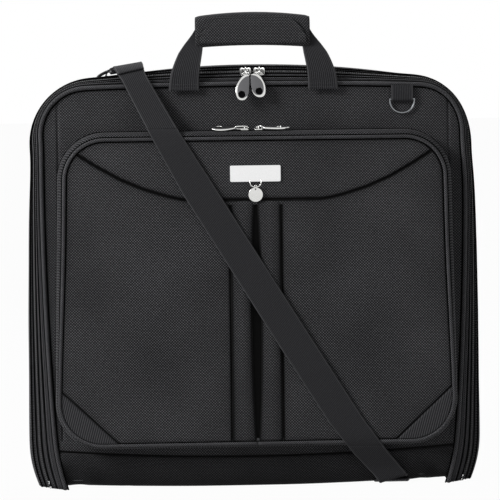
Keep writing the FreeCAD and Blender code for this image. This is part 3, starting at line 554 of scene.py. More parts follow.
def row_of_beads():
    """Tree that sets rounded beads of a given size at an even spacing along a polyline."""
    tree, given, out = group_tree("row_of_beads", [
        ("Spacing", "NodeSocketFloat"), ("Bead", "NodeSocketVector"),
        ("Material", "NodeSocketMaterial"),
    ])

    def made(kind, links, **settings):
        return add(tree, kind, links, **settings).outputs[0]

    curve = made("GeometryNodeMeshToCurve", {"Mesh": given["Geometry"]})
    even = made("GeometryNodeResampleCurve", {"Curve": curve, "Length": given["Spacing"]},
                mode="LENGTH")
    tangent = made("GeometryNodeInputTangent", {})
    first = made("FunctionNodeAlignEulerToVector", {"Vector": tangent}, axis="X")
    outward = made("GeometryNodeInputNamedAttribute", {"Name": "outward"},
                   data_type="FLOAT_VECTOR")
    second = made("FunctionNodeAlignEulerToVector", {"Rotation": first, "Vector": outward},
                  axis="Z", pivot_axis="X")
    ball = made("GeometryNodeMeshUVSphere", {"Segments": 6, "Rings": 4, "Radius": 0.5})
    beads = made("GeometryNodeInstanceOnPoints", {
        "Points": even, "Instance": ball, "Rotation": second, "Scale": given["Bead"],
    })
    real = made("GeometryNodeRealizeInstances", {"Geometry": beads})
    painted = made("GeometryNodeSetMaterial", {"Geometry": real, "Material": given["Material"]})
    tree.links.new(painted, out.inputs["Geometry"])
    return tree


BEAD_TREE = row_of_beads()


def polyline(name, lines):
    """Loose-edge mesh from (points, outward vectors) lines."""
    places, edges, normals = [], [], []
    for points, outward in lines:
        base = len(places)
        places += [tuple(spot) for spot in points]
        normals += [tuple(way) for way in outward]
        edges += [(base + step, base + step + 1) for step in range(len(points) - 1)]
    mesh = bpy.data.meshes.new(name)
    mesh.from_pydata(places, edges, [])
    layer = mesh.attributes.new("outward", "FLOAT_VECTOR", "POINT")
    layer.data.foreach_set("vector", np.array(normals, dtype=np.float32).reshape(-1))
    return show(name, mesh)


def baked(holder, name):
    """Mesh of an object with all that acts on it; the object goes."""
    bpy.context.view_layer.update()
    graph = bpy.context.evaluated_depsgraph_get()
    mesh = bpy.data.meshes.new_from_object(holder.evaluated_get(graph))
    mesh.name = name
    bpy.data.objects.remove(holder)
    return mesh


def beaded(name, lines, spacing, bead, material, body, slot):
    """Rows of beads along lines, as one plain mesh riding on a body."""
    guide = polyline(name + "_guide", lines)
    modifier = guide.modifiers.new("beads", "NODES")
    modifier.node_group = BEAD_TREE
    values = {"Spacing": spacing, "Bead": bead, "Material": material}
    for item in BEAD_TREE.interface.items_tree:
        if item.item_type == "SOCKET" and item.in_out == "INPUT" and item.name in values:
            modifier[item.identifier] = values[item.name]
    mesh = baked(guide, name)
    if not mesh.materials:
        mesh.materials.append(material)
    smooth_shaded(mesh)
    return dress(show(name, mesh), body, slot)


def moulded(name, colour, roughness, grain=0.02 * MM, speck=900.0, shine=0.3):
    """Injection-moulded or drawn nylon: even colour with a faint mottle."""
    made = new_material(name)
    tree = made[1]
    place = add(tree, "ShaderNodeTexCoord").outputs["Object"]
    mottle = noise(tree, place, speck)
    paint = tinted(tree, blended(tree, mottle, 0.75, 1.0), "010101", colour)
    return surface(made, paint, mottle, grain, 0.6, shine=shine, rough=roughness)


COIL_NYLON = moulded("coil_nylon", "6A6A6C", 0.38)
TOOTH_SPACING = 2.5 * MM


def outline_line(depth, inward, inset=0.0):
    """Line of (points, outward) along the bag's outline at one depth."""
    points = outline_ring(depth, inward, inset)
    along = np.gradient(points, axis=0)
    return points, unit_length(xyz(-along[:, 2], 0.0, along[:, 0]))


def shifted(line, metres):
    """The same line started a little later, so that its beads fall between another's."""
    points, outward = line
    ahead = points[1] - points[0]
    first = points[0] + unit_length(ahead) * metres
    return np.concatenate([[first], points[1:]]), outward


ZIP_BEAD = (1.7 * MM, 4.2 * MM, 2.2 * MM)
front_teeth = beaded(
    "front_coil_teeth", [outline_line(-11.3, 0.47, -0.2)], TOOTH_SPACING, ZIP_BEAD, COIL_NYLON,
    "front_half", "zip_coil")
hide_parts("front_zip_coil")
rear_teeth = beaded(
    "rear_coil_teeth", [shifted(outline_line(-8.8, 0.43, -0.2), TOOTH_SPACING / 2)], TOOTH_SPACING,
    ZIP_BEAD,
    COIL_NYLON, "rear_half", "zip_coil")
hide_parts("rear_zip_coil")


# ------------------------------------------------------------------ piping
# A 5 mm cord wrapped in nylon and sewn into the seam between panel and wall. It is round,
# stands proud of both, and shows faint puckers from the seam.

PUCKER_PITCH = 11 * MM


def tube_grid(points, outward, radius, sides=14, pucker=0.0):
    """Round tube along a line; outward starts each ring."""
    along = unit_length(np.gradient(points, axis=0))
    side = unit_length(np.cross(along, outward))
    up = np.cross(side, along)
    angles = np.linspace(0, 2 * math.pi, sides, endpoint=False)[:, None]
    swell = radius * (1 + pucker * np.sin(travelled(points) * 2 * math.pi / PUCKER_PITCH))
    ring = np.cos(angles) * up[:, None] + np.sin(angles) * side[:, None]
    return points[:, None] + ring * swell[:, None, None]


def capped_tube(name, points, outward, radius, material, sides=14, pucker=0.0):
    """Tube with closed ends, as a cloth piece whose UV runs round and along it."""
    body = tube_grid(points, outward, radius, sides, pucker)
    ends = [points[[end], None].repeat(sides, 1) for end in (0, -1)]
    grid = np.concatenate([ends[0], body, ends[1]])
    lengths = np.pad(travelled(points), 1, mode="edge")
    uv = xyz(np.linspace(0, 2 * math.pi * radius, sides + 1), lengths[:, None], 0)[..., :2]
    piece = cloth_piece(name, grid, material, EITHER_WAY, uv=uv, loop=True)
    clean_normals(piece)
    return piece


def clean_normals(piece):
    """Merge doubled points and turn every face outwards."""
    import bmesh
    shape = bmesh.new()
    shape.from_mesh(piece.data)
    bmesh.ops.remove_doubles(shape, verts=shape.verts, dist=1e-6)
    bmesh.ops.dissolve_degenerate(shape, dist=1e-7, edges=shape.edges)
    bmesh.ops.recalc_face_normals(shape, faces=shape.faces)
    shape.to_mesh(piece.data)
    shape.free()


PIPING_CLOTH = nylon("piping_nylon", dark="18181A", light="9A9A9E", cell=1.3 * MM, depth=0.15 * MM)
PIPING_RADIUS = 2.45 * MM
for name, node, body, depth, inward, inset in (
    ("front_piping_cord", "front_piping", "front_half", -26.6, 0.97, 2.4),
    ("rear_piping_cord", "rear_piping", "rear_half", 44.4, 0.53, 2.4),
):
    points, outward = outline_line(depth, inward, inset)
    cord = capped_tube(name, points, outward, PIPING_RADIUS, PIPING_CLOTH, pucker=0.012)
    dress(cord, body, "piping", node)

# Painted shadow: thin near-black tubes beside the piping and along the tapes' seams, for the shadow
# that the seams sink into.
SEAM_SHADOW_BLACK = moulded("painted_seam_shadow", "060606", 0.8, shine=0.03)
for name, body, rows in (
    ("front_piping_shadow_line", "front_half", ((-24.4, 0.97, -0.4, 0.95), (-26.5, 0.97, 5.6, 0.9))),
    ("front_tape_shadow_line", "front_half", ((-13.4, 0.55, -0.5, 0.85), (-18.2, 0.74, -0.7, 0.85))),
    ("front_tape_ridge", "front_half", ((-16.4, 0.67, -0.5, 0.8), (-20.6, 0.83, -0.5, 0.9))),
    ("rear_tape_shadow_line", "rear_half", ((-6.0, 0.33, -0.6, 0.8), (-1.8, 0.17, -0.5, 0.85))),
    ("rear_tape_ridge", "rear_half", ((-0.2, 0.14, -0.5, 0.7),)),
    ("rear_piping_shadow_line", "rear_half", ((42.8, 0.53, -0.2, 0.8), (44.3, 0.53, 5.2, 0.8))),
):
    for number, (depth, inward, inset, radius) in enumerate(rows):
        points, outward = outline_line(depth, inward, inset)
        cloth = PIPING_CLOTH if name.endswith("ridge") else SEAM_SHADOW_BLACK
        shadow_line = capped_tube(f"{name}_{number}", points, outward, radius * MM, cloth, sides=8)
        dress(shadow_line, body, "piping")


# ------------------------------------------------------------------ sewn panels
# Each flat panel is nylon backed with foam. Its edge rolls into the seam, and the middle
# stands a little proud.

def eased(count, ease):
    """Shares from 0 to 1, crowded towards both ends by ease."""
    share = np.linspace(0, 1, count)
    return share - ease * np.sin(2 * math.pi * share) / (2 * math.pi)


def resample(points, count, ease=0.0):
    """The same path with evenly spaced points; ease crowds them towards both ends."""
    length = travelled(points)
    reached = eased(count, ease) * length[-1]
    return np.stack([np.interp(reached, length, points[:, axis]) for axis in (0, 1)], axis=1)


def patch_grid(bottom, right, top, left, columns, rows, ease=0.7):
    """Grid filled between four boundary paths: bottom and top run left to right, sides run up."""
    b, t = resample(bottom, columns, ease), resample(top, columns, ease)
    l, r = resample(left, rows, ease), resample(right, rows, ease)
    s, q = eased(columns, ease)[None, :, None], eased(rows, ease)[:, None, None]
    flat = (1 - q) * b[None] + q * t[None] + (1 - s) * l[:, None] + s * r[:, None]
    flat -= (1 - s) * (1 - q) * b[0] + s * (1 - q) * b[-1] + (1 - s) * q * t[0] + s * q * t[-1]
    return flat


def edge_distance(flat, border):
    """Distance from every grid point to a closed border, both in the plane."""
    closed = np.concatenate([border, border[:1]])
    start, run = closed[:-1], np.diff(closed, axis=0)
    squared = np.maximum((run ** 2).sum(1), 1e-12)
    best = np.full(flat.shape[:2], 1e9)
    for place, step, size in zip(start, run, squared):
        along = np.clip(((flat - place) @ step) / size, 0, 1)
        gap = np.linalg.norm(flat - place - along[..., None] * step, axis=-1)
        best = np.minimum(best, gap)
    return best


PUFF_REACH, WAVE_REACH, WAVE_SIZE = 38.0, 25.0, 0.09


def sewn_panel(name, sides, depth, material, columns=90, rows=90, roll=3.0, roll_width=4.5,
               puff=0.0,
               wave=0.3, seed=3, forward=True, thick=1.8, extra=None):
    """Panel between four paths in metres; its edge rolls into the seam, its middle puffs out."""
    flat = patch_grid(*sides, columns, rows)
    bottom, right, top, left = sides
    border = np.concatenate([bottom, right, top[::-1], left[::-1]])
    gap = edge_distance(flat, border) / MM
    lift = puff * (1 - np.exp(-gap / PUFF_REACH)) - roll * rolled(unit(gap / roll_width))
    spread = xyz(flat[..., 0], 0.0, flat[..., 1])
    lift = lift + wave * smooth_noise(spread, WAVE_SIZE, seed) * unit(gap / WAVE_REACH)
    if extra is not None:
        lift = lift + extra(flat[..., 0] / MM, flat[..., 1] / MM)
    side = -1.0 if forward else 1.0
    grid = xyz(flat[..., 0], (depth + side * lift) * MM, flat[..., 1])
    # Painted shade: a black line along the seam for its thread and its shadow, and a softer painted
    # shade fading over the panel's first few mm.
    seam = unit(1.3 * bell(gap, 1.9) + 0.5 * np.exp(-gap / 4.0)) * 0.98
    return cloth_piece(name, grid, material, FORWARD if forward else BACKWARD, thick=thick * MM,
                       uv=plane_uv(grid), seam=seam)


def outline_sides(inward, inset, floor):
    """The bag's outline above a floor function as bottom, right, top and left paths."""
    ring = bag_outline(inward, inset)
    ring = ring[ring[:, 1] > floor(ring[:, 0] / MM) * MM + 1e-6]
    first, last = ring[0, 0], ring[-1, 0]
    across = np.linspace(first, last, 60)
    bottom = np.stack([across, floor(across / MM) * MM + 0 * across], axis=1)
    ring = np.concatenate([bottom[:1], ring, bottom[-1:]])
    count = len(ring)
    turn = int(count * 0.338)
    return bottom, ring[count - 1 - turn:][::-1], ring[turn:count - turn], ring[:turn + 1]


def band_seam(x):
    """Height in mm of the seam between the front panel and the fold band, sagging in the middle."""
    return 36.5 + 10.5 * (np.asarray(x) / 248.0) ** 2


panel_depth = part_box("front_panel")[0][1] / MM
SIDE_SEAM = 238.0


def side_seams(x, z):
    """Grooves of the two upright seams that set off the side strips above the pocket."""
    seam = np.abs(np.abs(x) - SIDE_SEAM)
    return -1.6 * bell(seam, 1.3) * (z > 60)


front_panel = sewn_panel(
    "front_panel_cloth", outline_sides(1.0, 2.6, band_seam), panel_depth, BALLISTIC,
    columns=230, rows=170, puff=0.8, wave=0.5, seed=11, extra=side_seams)
dress(front_panel, "front_half", "ballistic_nylon", "front_panel", "front_side_strips")

rear_panel_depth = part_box("rear_panel")[1][1] / MM
rear_panel = sewn_panel(
    "rear_panel_cloth", outline_sides(0.5, 3.0, lambda x: 8.0), rear_panel_depth - 0.6,
    BALLISTIC, columns=150, rows=130, puff=0.6, wave=0.6, seed=12, forward=False)
dress(rear_panel, "rear_half", "ballistic_nylon", "rear_panel")

# ------------------------------------------------------------------ fold at the foot
# One strip of nylon runs from the front panel's lower seam under the fold to the rear panel.
# Short gussets of the same cloth close the corners between it and the side walls.

FOLD_ROWS, FOLD_COLUMNS = 46, 140
FOLD_TOP = 46.0


def fold_cloth(name, path, widths, seam_row=False):
    """Strip across the bag through (depth, height) points in mm with a half width at each."""
    path = np.array(path, dtype=float)
    knots = np.arange(len(path))
    steps = np.linspace(0, len(path) - 1, FOLD_ROWS)
    depth, height = (softened(np.interp(steps, knots, path[:, k]), 2) for k in (0, 1))
    half = np.interp(steps, knots, widths)[:, None]
    grid = xyz(half * np.linspace(-1, 1, FOLD_COLUMNS), depth[:, None], height[:, None])
    lift = unit((grid[..., 0] - 30.0) / 190.0) * 3.5
    grid[..., 2] += lift * unit((steps - 3) / 12.0)[:, None] if seam_row else lift
    if seam_row:
        share = unit(1 - steps / 16.0)[:, None]
        grid[..., 2] += share * (band_seam(grid[..., 0]) - FOLD_TOP)
    ruffle = smooth_noise(grid * MM, 0.022, 21)
    near_end = bell(half - np.abs(grid[..., 0]), 55.0)
    slack = unit((38.0 - grid[..., 2]) / 30.0) if seam_row else 0.4
    grid[..., 1] += ruffle * 2.2 * near_end * slack
    stretched = grid * np.array([1.0, 0.2, 0.2]) * MM
    grid[..., 2] += smooth_noise(stretched, 0.02, 23) * 0.8 * slack * near_end
    # Painted shade: the strip is darkened towards its foot and in patches near its ends.
    shade_patches = unit(0.5 + 0.9 * smooth_noise(grid * MM, 0.03, 29))
    painted_fold_shade = 0.3 + 0.45 * (1 - grid[..., 2] / FOLD_TOP) + 0.25 * shade_patches * near_end
    piece = cloth_piece(name, grid * MM, BALLISTIC, ("from", (0.0, 0.009, 0.06)),
                        thick=1.8 * MM, seam=np.clip(painted_fold_shade, 0, 0.9))
    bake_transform(piece)
    return piece


front_fold = fold_cloth(
    "front_fold_cloth",
    [(-23.6, 45.6), (-25.8, 45.4), (-27.0, 43.0), (-27.0, 36), (-25.2, 24), (-22.4, 13),
     (-19.6, 7.2), (-16, 4.6),
     (-10, 4.0), (0, 4.0), (9.2, 4.0)],
    [245.5, 245.5, 245.0, 243.8, 241, 238, 236, 235, 234.5, 234.5, 234.5],
    seam_row=True)
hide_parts("front_fold_band")
rear_fold = fold_cloth(
    "rear_fold_cloth",
    [(8.8, 4.0), (20, 4.0), (34, 4.0), (39.5, 4.4), (42.6, 6.4), (43.6, 10.0), (42.4, 12.5)],
    [234.5, 234.5, 235, 237, 242, 246, 247])
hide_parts("spine_band")

WEB_INNER = 234.0
for side in (-1, 1):
    for label, body, near, far, inward in (
        ("rear", "rear_half", -9.2, 41.0, 0.1), ("front", "front_half", -24.0, -10.2, 0.85),
    ):
        share = np.linspace(0, 1, 12)[:, None]
        wide = (1 - inward) * 263 + inward * PANEL["foot"]
        web = xyz(side * (WEB_INNER + (wide - 4.0 - WEB_INNER) * share), np.linspace(near, far, 14),
                  4.0 - 2.6 * np.sin(share * math.pi / 2) + 1.2 * np.sin(share * math.pi))
        word = "left" if side < 0 else "right"
        piece = cloth_piece(f"{label}_corner_web_{word}", web * MM, BALLISTIC,
                            ("to", (0.0, 0.0, -1.0)), thick=1.2 * MM)
        dress(piece, body, "ballistic_nylon")


# ------------------------------------------------------------------ pocket wall
# The pocket stands off the front on a wall of nylon that is zipped round its top and sides:
# base tape on the bag, coil, then the wall, which rounds over to the piping of the face.

POCKET_TOP_HALF, POCKET_LOW_HALF = 238.5, 245.0
POCKET_LOW, POCKET_HIGH, POCKET_CORNER = 52.0, 436.0, 57.0
ZIP_END_HEIGHT = 150.0


def pocket_ring(inset=0.0, per_corner=22, per_side=60):
    """Closed outline of the pocket in metres, from the middle of its foot towards +X.

    The face comes nearer to the wall round the foot, so an inset shrinks there.
    """
    radius = POCKET_CORNER
    low_x, high_x = POCKET_LOW_HALF - radius, POCKET_TOP_HALF - radius
    low_z, high_z = POCKET_LOW + radius, POCKET_HIGH - radius
    turn = np.linspace(0, math.pi / 2, per_corner)
    low = np.stack([low_x + radius * np.sin(turn), low_z - radius * np.cos(turn)], axis=1)
    high = np.stack([high_x + radius * np.cos(turn), high_z + radius * np.sin(turn)], axis=1)
    half = np.concatenate([
        line_points((0.0, POCKET_LOW), low[0], 30), low[:-1],
        line_points(low[-1], high[0], per_side), high[:-1],
        line_points(high[-1], (0.0, POCKET_HIGH), 40), [[0.0, POCKET_HIGH]],
    ])
    ring = np.concatenate([half, (half[::-1] * np.array([-1.0, 1.0]))[1:-1]])
    along = np.roll(ring, -1, axis=0) - np.roll(ring, 1, axis=0)
    inwards = unit_length(np.stack([-along[:, 1], along[:, 0]], axis=1))
    near_foot = unit((320.0 - ring[:, 1:]) / 220.0)
    near_foot = near_foot * near_foot * (3 - 2 * near_foot)
    return (ring + inwards * inset * (1 - 0.40 * near_foot)) * MM


def pocket_line(inset, depth, above=None, below=None):
    """Part of the pocket's outline as (points, outward), over the top or round the foot."""
    pick = pocket_ring(inset)
    if above is not None:
        pick = pick[pick[:, 1] > above * MM]
    elif below is not None:
        pick = np.roll(pick, len(pick) // 2, axis=0)
        pick = pick[pick[:, 1] < below * MM]
    points = xyz(pick[:, 0], depth * MM, pick[:, 1])
    along = np.gradient(points, axis=0)
    outward = unit_length(xyz(along[:, 2], 0.0, -along[:, 0]))
    centre = np.array([0.0, depth * MM, 0.244])
    return points, outward if np.sum(outward * (points - centre)) >= 0 else -outward


def pocket_loop(inset, depth):
    """The pocket's whole outline as closed (points, outward)."""
    return [np.concatenate([part, part[:1]]) for part in pocket_line(inset, depth)]


def pocket_wall(name, profile, above=None, below=None, material=BALLISTIC, thick=1.8):
    rows = [pocket_line(inset, depth, above, below)[0] for depth, inset in profile]
    shortest = min(map(len, rows))
    grid = np.stack([row[:shortest] for row in rows])
    return cloth_piece(name, grid, material, ("from", (0.0, -0.040, 0.244)), thick=thick * MM)


POCKET_WALL_TOP = [
    (-36.9, 1.6), (-36.9, 0.4), (-37.6, -0.3), (-40.0, -0.5), (-42.5, -0.4), (-44.8, 0.3),
    (-46.6, 1.6), (-47.8, 3.4), (-48.3, 5.4), (-47.8, 6.6),
]
POCKET_WALL_FOOT = [(-26.2, -0.6), (-28.0, -0.4), (-33.0, -0.5)] + POCKET_WALL_TOP[3:]
dress(pocket_wall("pocket_wall_upper", POCKET_WALL_TOP, above=ZIP_END_HEIGHT - 1),
      "pocket", "ballistic_nylon", "pocket_gusset")
dress(pocket_wall("pocket_wall_foot", POCKET_WALL_FOOT, below=ZIP_END_HEIGHT),
      "pocket", "ballistic_nylon")
pocket_base = pocket_wall(
    "pocket_base_tape_woven", [(-26.0, -1.2), (-28.0, 0.2), (-31.0, 0.4), (-34.0, 0.6)],
    above=ZIP_END_HEIGHT, material=TAPE, thick=1.0)
dress(pocket_base, "front_half", "zip_tape", "pocket_base_tape")
pocket_teeth = beaded(
    "pocket_coil_teeth",
    [pocket_line(-0.1, -34.9, above=ZIP_END_HEIGHT),
     shifted(pocket_line(-0.1, -35.9, above=ZIP_END_HEIGHT), 1.1 * MM)],
    2.2 * MM, (1.5 * MM, 2.2 * MM, 1.8 * MM), COIL_NYLON, "pocket", "zip_coil")
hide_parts("pocket_zip_coil")

pocket_cord = capped_tube("pocket_piping_cord", *pocket_loop(7.7, -49.2), 2.2 * MM, PIPING_CLOTH,
                          pucker=0.012)
dress(pocket_cord, "pocket", "piping", "pocket_piping")
# Painted shadow: near-black tubes on both sides of the pocket's piping and along its base.
for number, (inset, depth, radius, body) in enumerate((
    (5.1, -49.0, 0.95, "pocket"), (10.4, -49.2, 0.95, "pocket"), (-0.9, -26.9, 0.9, "front_half"),
)):
    shadow_line = capped_tube(f"pocket_flange_{number}", *pocket_loop(inset, depth), radius * MM,
                         SEAM_SHADOW_BLACK, sides=8)
    dress(shadow_line, body, "piping")


# ------------------------------------------------------------------ pocket face
# Cut from five pieces: a yoke with a sweeping lower edge, two main panels, and a ribbed patch
# over each foot corner. Every seam is stitched and turned, so each edge rolls inwards.

FACE_INSET = 9.6
FACE_DEPTH = -49.6
PLEAT_SEAM = 31.0


def yoke_height(x):
    """Height in mm of the yoke's seam: level over the pleats, then sweeping up to the sides."""
    return np.interp(np.abs(x), [0, 80, 92, 106, 135, 163, 193, 217, 232],
                     [354, 354, 355.8, 359, 368, 380, 397, 412.5, 423])


def ring_between(ring, first, last):
    """Points of a closed ring from one spot to another, following its direction."""
    ring = ring[:-1] if np.allclose(ring[0], ring[-1]) else ring
    a = np.argmin(np.linalg.norm(ring - np.array(first) * MM, axis=1))
    b = np.argmin(np.linalg.norm(ring - np.array(last) * MM, axis=1))
    if b < a:
        b += len(ring)
    return np.take(ring, np.arange(a, b + 1), axis=0, mode="wrap")


face_ring = pocket_ring(FACE_INSET, per_corner=50, per_side=150)
seam_x = np.linspace(-240, 240, 321)
inside = np.abs(seam_x) < 224.5
yoke_seam = np.stack([seam_x[inside], yoke_height(seam_x[inside])], axis=1) * MM
seam_right = yoke_seam[-1] / MM
seam_left = yoke_seam[0] / MM
corner_spot = (POCKET_TOP_HALF - POCKET_CORNER + (POCKET_CORNER - FACE_INSET) * 0.60,
               POCKET_HIGH - POCKET_CORNER + (POCKET_CORNER - FACE_INSET) * 0.80)
right_rise = ring_between(face_ring, seam_right, corner_spot)
top_run = ring_between(face_ring, corner_spot, (-corner_spot[0], corner_spot[1]))
left_fall = ring_between(face_ring, (-corner_spot[0], corner_spot[1]), seam_left)
pocket_yoke = sewn_panel(
    "pocket_yoke_cloth", (yoke_seam, right_rise, top_run[::-1], left_fall[::-1]), FACE_DEPTH,
    BALLISTIC,
    columns=170, rows=60, roll=2.6, roll_width=4.0, puff=0.5, wave=0.25, seed=31)
dress(pocket_yoke, "pocket", "ballistic_nylon", "pocket_yoke")

PATCH_UPPER, PATCH_LOWER = (239.0, 124.0), (171.0, 57.8)


def ribbed(name, dark="0C0C0D", light="626265", pitch=2.7 * MM, lean=15.0, depth=0.5 * MM):
    """Ribbed cloth: thick cords at an even pitch, leaning from upright, with thread across."""
    made = new_material(name)
    tree = made[1]
    uv = cloth_uv(tree)[0]
    turn = {"Vector": uv, "Rotation": (0, 0, math.radians(lean))}
    leaning = add(tree, "ShaderNodeMapping", turn).outputs[0]
    split = add(tree, "ShaderNodeSeparateXYZ", {0: leaning}).outputs
    ribs = hump(tree, maths(tree, "DIVIDE", split[0], pitch))
    threads = hump(tree, maths(tree, "DIVIDE", split[1], pitch * 0.45))
    height = times(tree, ribs, raised(tree, 0.86, threads, 0.14))
    shade = times(tree, height, raised(tree, 0.6, noise(tree, uv, 400.0), 0.6))
    return surface(made, tinted(tree, shade, dark, light), height, depth, 0.9, rough=0.55,
                   shine=0.06)


RIBBED = ribbed("ribbed_cloth")

lower_end = ring_between(face_ring, (PLEAT_SEAM, POCKET_LOW + 5.8), PATCH_LOWER)
upper_side = ring_between(face_ring, PATCH_UPPER, seam_right)
diagonal = np.linspace(lower_end[-1], upper_side[0], 30)
half_seam = yoke_seam[yoke_seam[:, 0] > PLEAT_SEAM * MM]
inner_side = np.array([[PLEAT_SEAM * MM, path[0][1]] for path in (lower_end, half_seam)])
panel_sides = (np.concatenate([lower_end, diagonal[1:]]), upper_side, half_seam, inner_side)
patch_arc = ring_between(face_ring, PATCH_LOWER, PATCH_UPPER)
middle, half_way = len(patch_arc) // 2, len(diagonal) // 2
patch_sides = (patch_arc[:middle + 1], patch_arc[middle:], diagonal[half_way:],
               diagonal[:half_way + 1])


def mirrored_sides(sides):
    """The left-hand twin of a panel's four paths."""
    bottom, right, top, left = (path * np.array([-1.0, 1.0]) for path in sides)
    return bottom[::-1], left, top[::-1], right


for side, word in ((1, "right"), (-1, "left")):
    panel, patch = (sides if side > 0 else mirrored_sides(sides)
                    for sides in (panel_sides, patch_sides))
    panel = sewn_panel(f"pocket_panel_{word}_cloth", panel, FACE_DEPTH, BALLISTIC, columns=110,
                       rows=150, roll=2.6, roll_width=4.0, puff=0.9, wave=0.45, seed=41 + side)
    dress(panel, "pocket", "ballistic_nylon", *(["pocket_panels"] if side > 0 else []))
    patch = sewn_panel(f"corner_patch_{word}_ribbed", patch, FACE_DEPTH, RIBBED, columns=50,
                       rows=50, roll=2.4, roll_width=3.4, puff=0.3, wave=0.1, seed=51 + side)
    dress(patch, "pocket", "ribbed_fabric", *(["corner_patches"] if side > 0 else []))


# ------------------------------------------------------------------ pleats
# Two soft folds of the pocket's cloth meet over a backing of black cloth, drawn near black as
# painted shade of the deep gap between them.
# Their inner edges are folded, not cut, and bow apart between the seams.

PLEAT_LOW, PLEAT_HIGH = 58.6, 353.0
BOW_LOW, BOW_HIGH = 58.0, 349.0
for side, word in ((1, "right"), (-1, "left")):
    heights = np.linspace(PLEAT_LOW, PLEAT_HIGH, 120)[:, None]
    part_way = (heights - BOW_LOW) / (BOW_HIGH - BOW_LOW)
    bow = 0.9 + 4.2 * np.sin(unit(part_way) * math.pi) ** 0.8
    x = bow + (PLEAT_SEAM - 0.2 - bow) * np.linspace(0, 1, 26)
    from_fold, to_seam = x - bow, PLEAT_SEAM - x
    end = unit(np.minimum(heights - PLEAT_LOW, PLEAT_HIGH - heights) / 4.0)
    crown = np.sin(unit(from_fold / (PLEAT_SEAM - bow)) ** 0.8 * math.pi) ** 0.75
    swell = 1.6 + 2.2 * np.sin(part_way * math.pi)
    lift = (crown * swell - 0.6 - 2.6 * rolled(unit(from_fold / 4.0))
            - 1.8 * rolled(unit(to_seam / 4.0)) - 2.4 * rolled(end))
    # Painted shade: each pleat darkens into its outer seam and its folded inner edge.
    pleat_seam_shade = unit(1.2 * bell(to_seam, 2.2) + 0.7 * np.exp(-to_seam / 6.0))
    pleat_fold_shade = unit(1.1 * bell(from_fold, 1.9) + 0.7 * np.exp(-from_fold / 6.0))
    grid = xyz(side * x, FACE_DEPTH - 0.4 - lift, heights) * MM
    pleat = cloth_piece(f"pleat_{word}_cloth", grid, BALLISTIC, FORWARD, thick=1.6 * MM,
                        seam=np.maximum(pleat_seam_shade, pleat_fold_shade) * 0.95, uv=plane_uv(grid))
    dress(pleat, "pocket", "ballistic_nylon", *(["pleats"] if side > 0 else []))

low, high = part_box("pleat_backing")
x = np.linspace(low[0], high[0], 14)
grid = xyz(x, low[1] + 0.6 * MM * np.cos(x / high[0] * math.pi / 2),
           np.linspace(low[2], high[2], 60)[:, None])
# The backing is black cloth drawn darker than the bag's nylon: painted shade in the gap between the
# pleats.
backing = cloth_piece("pleat_backing_cloth", grid,
                      nylon("backing_nylon_painted_shade", dark="030303", light="0C0C0C"), FORWARD,
                      thick=0.8 * MM)
dress(backing, "pocket", "ballistic_nylon", "pleat_backing")


# ------------------------------------------------------------------ webbing
# Heavy nylon webbing, 2.2 mm thick, woven with fine ribs along it and a hard round selvedge.
# The shoulder strap, both handles, the ring tabs and the tie straps are all cut from it.

def webbing_material(name, dark="0F0F10", light="505053", pitch=2.1 * MM, thread=1.7 * MM):
    made = new_material(name)
    tree = made[1]
    uv, across, along = cloth_uv(tree)
    place = maths(tree, "DIVIDE", across, pitch)
    stagger = times(tree, maths(tree, "MODULO", maths(tree, "FLOOR", place), 2.0), 0.5)
    picks = hump(tree, maths(tree, "ADD", maths(tree, "DIVIDE", along, thread), stagger))
    height = times(tree, hump(tree, place), raised(tree, 0.65, picks, 0.35))
    shade = times(tree, height, raised(tree, 0.62, noise(tree, uv, 520.0, 1.0), 0.66))
    # Painted highlight: a lighter line along each selvedge of the front face, from the mesh's seam
    # attribute.
    selvedge_highlight = add(tree, "ShaderNodeAttribute", attribute_name="seam").outputs["Fac"]
    cloth = tinted(tree, shade, dark, light)
    colour = tinted(tree, times(tree, selvedge_highlight, 0.5), cloth, "6A6A6C")
    return surface(made, colour, height, 0.22 * MM, 0.8, rough=0.55, shine=0.06)


WEBBING = webbing_material("nylon_webbing")
SELVEDGE = np.array([0.0, 0.35, 0.9, 1.7, 3.0])


def webbing(name, sheet, thick, outward=(0.0, -1.0, 0.0)):
    """Closed webbing over a sheet of points (along, across, 3): flat faces and rounded edges."""
    along = np.gradient(sheet, axis=0)
    across = np.gradient(sheet, axis=1)
    normal = np.cross(along, across)
    length = np.linalg.norm(normal, axis=2, keepdims=True)
    normal = np.where(length > 1e-14, normal / np.maximum(length, 1e-14), 0.0)
    if np.sum(normal * np.array(outward)) < 0:
        normal = -normal
    run = travelled(sheet[len(sheet) // 2])
    edge = np.minimum(run, run[-1] - run)
    half = thick / 2
    body = half * np.maximum(1 - rolled(unit(edge / half)), 0.15)
    swell = 1 + 0.12 * bell(edge - 1.4 * MM, 0.8 * MM)
    front = sheet + normal * (half + body * swell)[None, :, None]
    back = sheet + normal * (half - body)[None, :, None]
    ring = np.concatenate([front, back[:, ::-1]], axis=1)
    middle = (front + back) / 2
    closing = np.concatenate([middle, middle[:, ::-1]], axis=1)
    grid = np.concatenate([closing[:1], ring, closing[-1:]])
    # Painted highlight along both edges of the front face only, carried to the material as the seam
    # attribute.
    selvedge_highlight = bell(edge - 0.9 * MM, 0.7 * MM)
    selvedge_highlight = np.concatenate([selvedge_highlight, 0 * selvedge_highlight])[None, :]
    length = np.pad(travelled(sheet[:, len(run) // 2]), 1, mode="edge")
    wide = np.concatenate([run, run[::-1], run[:1]])
    uv = xyz(wide, length[:, None], 0)[..., :2]
    piece = cloth_piece(name, grid, WEBBING, EITHER_WAY, uv=uv, loop=True, seam=selvedge_highlight)
    clean_normals(piece)
    return piece


